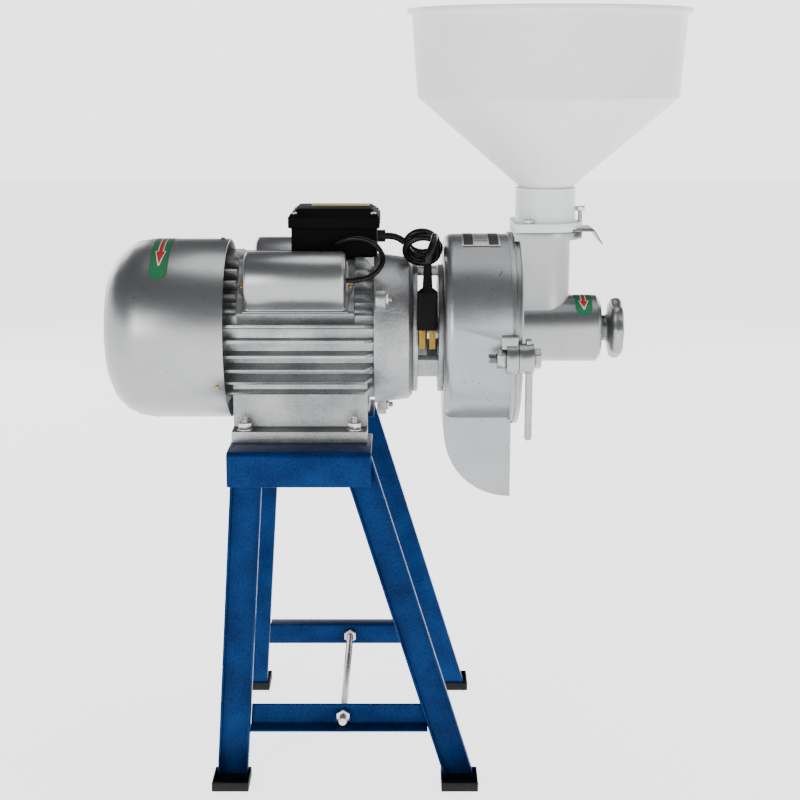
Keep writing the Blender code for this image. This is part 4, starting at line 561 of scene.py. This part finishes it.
# Capacitor covers
# Pressed half-round steel covers with an ear at each end, screwed to the
# frame's flats. Each hides a plain black can.
EAR_FACE = 0.0779
FLAT_ANGLE = radians(42)
for part in ("near_capacitor_cover", "far_capacitor_cover"):
    dressed(part, silver_spray, 0.0012, crease=40)
for word, side in (("near", -1), ("far", 1)):
    normal = Vector((0, side * cos(FLAT_ANGLE), sin(FLAT_ANGLE)))
    for end, along in (("rear", -0.1519), ("front", -0.0428)):
        seat = Vector((along, 0, shaft_height)) + normal * EAR_FACE
        ear_screw = aimed(domed_screw(0.0027, 0.0018), seat, normal)
        shown(f"{word}_{end}_ear_screw", ear_screw, yellow_zinc, "base")


# Capacitor lead
# A thin black lead from the terminal box over the near capacitor cover and
# back into its front end.
LEAD_DIAMETER = 0.0052
LEAD_ROUTE = [
    (-0.0580, -0.0343, 0.0905), (-0.0580, -0.0390, 0.0905), (-0.0520, -0.0450, 0.0950),
    (-0.0420, -0.0490, 0.0985), (-0.0300, -0.0505, 0.0980), (-0.0180, -0.0530, 0.0925),
    (-0.0105, -0.0590, 0.0810), (-0.0145, -0.0650, 0.0695), (-0.0250, -0.0670, 0.0620),
    (-0.0380, -0.0665, 0.0590), (-0.0470, -0.0665, 0.0590),
]
lead = laid_cord("capacitor_wire", [Vector(point) + lift for point in LEAD_ROUTE], LEAD_DIAMETER, 0.004)
lead.data.materials.append(cord_sheath)
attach(lead, "base")
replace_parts(lead, "capacitor_lead")


# Terminal box
# A moulded black box on the frame's top flat. Its lid has a raised middle, a
# ledge with four screws, and a plain cream label on top.
SCREW_IN_X = 0.0068
SCREW_IN_Y = 0.0062
box_moulding = coated(
    "box_moulding", (0.0035, 0.0035, 0.004), (0.002, 0.002, 0.0022),
    metallic=0, roughness=0.52, grain=650, relief=0.10, specular=0.02,
)
for part in ("junction_box", "junction_lid"):
    dressed(part, box_moulding, 0.0007)
lid_low, lid_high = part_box("junction_lid")
left, right = lid_low[0] + SCREW_IN_X, lid_high[0] - SCREW_IN_X
near, far = lid_low[1] + SCREW_IN_Y, lid_high[1] - SCREW_IN_Y
for name, (across, out) in zip(CORNERS, ((left, near), (right, near), (left, far), (right, far))):
    post = lathed([(0, 0), (0.0050, 0), (0.0050, 0.0045), (0.0044, 0.0052), (0, 0.0052)], steps=20)
    aimed(post, (across, out, lid_high[2] - 0.0098), (0, 0, 1))
    shown(f"{name}_lid_post", post, box_moulding, "base")
    head = aimed(domed_screw(0.0033, 0.0019), (across, out, lid_high[2] - 0.0046), (0, 0, 1))
    shown(f"{name}_lid_screw", head, bright_zinc, "base")
label_cream = coated(
    "label_cream", (0.66, 0.52, 0.20), (0.55, 0.43, 0.16),
    metallic=0, roughness=0.6, grain=260, relief=0.03, specular=0.02,
)
card = bmesh.new()
bmesh.ops.create_grid(card, x_segments=1, y_segments=1, size=0.5)
bmesh.ops.scale(card, vec=(0.060, 0.021, 1), verts=card.verts)
bmesh.ops.translate(card, vec=(-0.0545, 0.0135, lid_high[2] + 0.00012), verts=card.verts)
shown("lid_label", card, label_cream, "base")


# Inside the motor
# Stator, windings, bearings, shaft, rotor and fan, mostly hidden. The fan shows
# through the cowl's slots and the shaft through the bracket's windows.
copper_varnish = coated(
    "copper_varnish", (0.45, 0.17, 0.07), (0.25, 0.09, 0.04),
    metallic=0.4, roughness=0.4, grain=260, relief=0.5,
)
core_plates = coated(
    "core_plates", (0.2, 0.2, 0.21), (0.1, 0.1, 0.11),
    metallic=0.7, roughness=0.5, grain=300, relief=0.4,
)
turned_steel = coated(
    "turned_steel", (0.58, 0.58, 0.57), (0.42, 0.42, 0.42),
    metallic=1, roughness=0.26, grain=380, relief=0.08,
)
fan_moulding = coated(
    "fan_moulding", (0.02, 0.02, 0.022), (0.01, 0.01, 0.011),
    metallic=0, roughness=0.5, grain=300, relief=0.2, specular=0.3,
)
for part in ("rear_winding", "front_winding"):
    coat_node(part, copper_varnish)
for part in ("stator_core", "rotor_core"):
    coat_node(part, core_plates)
for part in ("front_bearing", "rear_bearing", "motor_shaft"):
    coat_node(part, turned_steel)
for part in ("cooling_fan", "near_capacitor", "far_capacitor"):
    coat_node(part, fan_moulding)


# Connecting bracket
# A short cast lantern that holds the drum to the motor, open at the sides
# where the shaft can be reached.
dressed("connecting_bracket", cast_spray, 0.0005)


# Grinding drum
# A cast drum, open at the front, with its spout below. It is sprayed silver
# and carries a small plate with blank dark blocks on its upper near side.
DRUM_RADIUS = 0.0975
drum_spray = coated(
    "drum_spray", (0.34, 0.35, 0.36), (0.26, 0.268, 0.275),
    metallic=0.90, roughness=0.32, grain=800, relief=0.16, patch=11.0, spread=0.06, scuff=0.6,
)
dressed("grinding_drum", drum_spray, 0.0007)
plate_silver = coated(
    "plate_silver", (0.62, 0.62, 0.61), (0.50, 0.50, 0.49),
    metallic=0.8, roughness=0.3, grain=700, relief=0.03,
)
plate_ink = coated(
    "plate_ink", (0.020, 0.020, 0.022), (0.012, 0.012, 0.013),
    metallic=0, roughness=0.45, grain=500, relief=0.05, specular=0.3,
)
plate = label_shape(
    middle=0.0880, width=0.0385, start=-0.0085, length=0.0483, proud=0.0003, round_end=False,
)
shown("drum_plate", wrapped(plate, DRUM_RADIUS), plate_silver, "base")
for name, middle, width, start, length in (
    ("rear_block", 0.0751, 0.0094, -0.0065, 0.0438),
    ("front_block", 0.1006, 0.0098, -0.0065, 0.0438),
    ("upper_rule", 0.0878, 0.0130, 0.0040, 0.0009),
    ("middle_rule", 0.0878, 0.0130, 0.0120, 0.0009),
    ("lower_rule", 0.0878, 0.0130, 0.0200, 0.0009),
    ("bottom_rule", 0.0878, 0.0130, 0.0280, 0.0009),
):
    ink = label_shape(middle, width, start, length, proud=0.0004, round_end=False)
    shown(f"plate_{name}", wrapped(ink, DRUM_RADIUS), plate_ink, "base")


# Clamps
# A bolt on each side pulls the cover's ears to the drum's, with a hexagon
# nut behind and a swinging steel handle between head and ear.
CLAMP_HEXAGON = 0.0101
CLAMP_TIP = 0.0082
CLAMP_HEAD = 0.0066
M10_PITCH = 0.0015
BOSS_LENGTH = 0.0150
ROD_LENGTH = 0.0695
dull_zinc = coated(
    "dull_zinc", (0.36, 0.37, 0.37), (0.23, 0.235, 0.235),
    metallic=0.95, roughness=0.28, grain=420, relief=0.15,
)


def rounded_block(low, high, edge):
    """A small cast block with rounded corners, between two opposite corners."""
    bm = bmesh.new()
    bmesh.ops.create_cube(bm, size=1)
    middle, reach = (Vector(low) + Vector(high)) / 2, Vector(high) - Vector(low)
    bmesh.ops.scale(bm, vec=reach, verts=bm.verts)
    bmesh.ops.translate(bm, vec=middle, verts=bm.verts)
    bmesh.ops.bevel(
        bm, geom=list(bm.edges), offset=edge, segments=3, profile=0.5, affect="EDGES", material=-1,
        clamp_overlap=True,
    )
    return bm


for word, side in (("near", -1), ("far", 1)):
    low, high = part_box(f"{word}_clamp_bolt")
    out, height = (low[1] + high[1]) / 2, (low[2] + high[2]) / 2
    nut_start, head_start = low[0] + CLAMP_TIP, high[0] - CLAMP_HEAD
    shank = lathed([(0, 0), (0.0049, 0), (0.0049, head_start - nut_start), (0, head_start - nut_start)])
    aimed(shank, (nut_start, out, height), (1, 0, 0))
    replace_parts(shown(f"{word}_clamp_shank", shank, dull_zinc, "base"), f"{word}_clamp_bolt")
    tip = aimed(thread(0.0050, CLAMP_TIP, M10_PITCH), (nut_start, out, height), (-1, 0, 0))
    shown(f"{word}_clamp_thread", tip, dull_zinc, "base", crease=FINE_CREASE)
    nut = aimed(hexagon(CLAMP_HEXAGON, 0.0087), (nut_start, out, height), (1, 0, 0))
    shown(f"{word}_clamp_nut", nut, dull_zinc, "base")
    head = aimed(hexagon(CLAMP_HEXAGON, CLAMP_HEAD), (head_start, out, height), (1, 0, 0))
    shown(f"{word}_clamp_head", head, dull_zinc, "base")
    lug_block = rounded_block(
        (0.1045, out - 0.0060, height + 0.0095), (0.1203, out + 0.0060, height + 0.0222), 0.0012,
    )
    shown(f"{word}_lug_block", lug_block, silver_spray, "base")

    swinging = f"{word}_handle"
    boss_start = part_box(f"{word}_clamp_handle")[0][0]
    boss = lathed([
        (0.0055, 0), (0.0138, 0), (0.0145, 0.0004), (0.0147, 0.0012), (0.0147, BOSS_LENGTH - 0.0014),
        (0.0143, BOSS_LENGTH - 0.0004), (0.0136, BOSS_LENGTH), (0.0055, BOSS_LENGTH), (0.0055, 0),
    ], steps=48)
    aimed(boss, (boss_start, out, height), (1, 0, 0))
    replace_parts(shown(f"{word}_handle_boss", boss, silver_spray, swinging), f"{word}_clamp_handle")
    finger_ends = sorted((out - side * 0.0060, out - side * 0.0245))
    finger = rounded_block(
        (boss_start + 0.0073, finger_ends[0], height - 0.0080),
        (boss_start + BOSS_LENGTH - 0.0002, finger_ends[1], height + 0.0080), 0.0015,
    )
    shown(f"{word}_handle_finger", finger, silver_spray, swinging)
    rod = lathed([
        (0, 0), (0.0018, 0.0002), (0.0031, 0.0012), (0.00365, 0.0030), (0.00365, ROD_LENGTH),
        (0, ROD_LENGTH),
    ])
    aimed(rod, (boss_start + 0.0108, out, height - 0.0815), (0, 0, 1))
    shown(f"{word}_handle_rod", rod, dull_zinc, swinging)
    nub = lathed([(0, 0), (0.0034, 0), (0.0034, 0.0058), (0.0028, 0.0070), (0.0015, 0.0076), (0, 0.0078)])
    aimed(nub, (boss_start + 0.0100, out, height + 0.0118), (0, 0, 1))
    shown(f"{word}_handle_nub", nub, silver_spray, swinging)


# Front cover
# The drum's lid, the feed barrel and the upright duct in one casting, with a
# wide flange at the top for the gate and the hopper's collar. Inside it are
# the grinding discs, the feed screw and the adjuster's plug and screw.
dressed("front_cover", silver_spray, 0.0008)
disc_iron = coated(
    "disc_iron", (0.26, 0.26, 0.27), (0.13, 0.13, 0.14),
    metallic=0.85, roughness=0.45, grain=300, relief=0.4,
)
for part in ("fixed_disc", "moving_disc"):
    coat_node(part, disc_iron)
for part in ("disc_carrier", "feed_screw", "thrust_plug"):
    coat_node(part, turned_steel)
coat_node("adjusting_screw", bright_zinc)


# Handwheel
# A cast wheel on the adjusting screw, held by a grub screw in its hub. Eight
# shallow lobes round its rim give a grip.
LOBES = 8
LOBE_SWELL = 0.035
LOBES_FROM = 0.0160
wheel_coat = coated(
    "wheel_plating", (0.34, 0.345, 0.35), (0.22, 0.225, 0.23),
    metallic=0.9, roughness=0.34, grain=420, relief=0.3,
)
hub_low, hub_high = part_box("handwheel")
reach = hub_high[0] - hub_low[0]
wheel = lathed([
    (0.0046, 0), (0.0128, 0), (0.0134, 0.0006), (0.0132, 0.0062), (0.0150, 0.0084), (0.0230, 0.0098),
    (0.0272, 0.0106), (0.0294, 0.0124), (0.0302, 0.0152), (0.0302, 0.0184), (0.0294, reach - 0.0020),
    (0.0268, reach - 0.0004), (0.0215, reach), (0.0165, reach - 0.0020), (0.0046, 0.0206), (0.0046, 0),
], steps=96)
for vert in wheel.verts:
    ring = Vector((vert.co.x, vert.co.y))
    if ring.length > LOBES_FROM:
        growth = min(1, (ring.length - LOBES_FROM) / 0.010)
        vert.co.x, vert.co.y = ring * (1 + LOBE_SWELL * cos(LOBES * atan2(ring.y, ring.x)) * growth)
aimed(wheel, (hub_low[0], 0, shaft_height), (1, 0, 0))
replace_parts(shown("lobed_wheel", wheel, wheel_coat, "wheel", crease=50), "handwheel")
grub_seat = (hub_low[0] + 0.0036, -0.0057, shaft_height + 0.0119)
grub = aimed(domed_screw(0.0021, 0.0012), grub_seat, (0, -0.43, 0.90))
shown("wheel_grub_screw", grub, fan_moulding, "wheel")


# Slide gate
# A bent sheet steel slide between the duct's flange and the collar. It is
# pulled out by its lip.
gate_steel = coated(
    "gate_steel", (0.24, 0.245, 0.25), (0.14, 0.145, 0.15),
    metallic=0.9, roughness=0.30, grain=300, relief=0.12,
)
dressed("slide_gate", gate_steel, 0.0003)


# Collar
# A pale green-white moulding on the duct's flange, held by two bolts, the
# outer one long and left standing proud.
COLLAR_HEXAGON = 0.0052
SHORT_BOLT = (0.1352, -0.0300)
LONG_BOLT = (0.1898, -0.0060)
collar_moulding = coated(
    "collar_moulding", (0.70, 0.78, 0.73), (0.62, 0.71, 0.66),
    metallic=0, roughness=0.38, grain=240, relief=0.10, specular=0.4,
)
dressed("hopper_collar", collar_moulding, 0.0006)
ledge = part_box("hopper_collar")[0][2] + 0.0088
short_bolt = aimed(hexagon(COLLAR_HEXAGON, 0.0042), (*SHORT_BOLT, ledge), (0, 0, 1))
shown("short_collar_bolt", short_bolt, bright_zinc, "base")
shank = aimed(thread(0.0025, 0.0142, 0.0009), (*LONG_BOLT, ledge - 0.003), (0, 0, 1))
shown("long_collar_bolt_shank", shank, bright_zinc, "base", crease=FINE_CREASE)
head = aimed(hexagon(COLLAR_HEXAGON, 0.0045), (*LONG_BOLT, ledge + 0.0110), (0, 0, 1))
shown("long_collar_bolt_head", head, bright_zinc, "base")


# Hopper
# A thin milky plastic funnel with a rolled rim. It stands loose in the
# collar and lifts off.
milk_moulding = coated(
    "milk_moulding", (0.70, 0.705, 0.71), (0.66, 0.665, 0.67),
    metallic=0, roughness=0.40, grain=160, relief=0.05, specular=0.3,
)
dressed("hopper", milk_moulding, 0.0006)
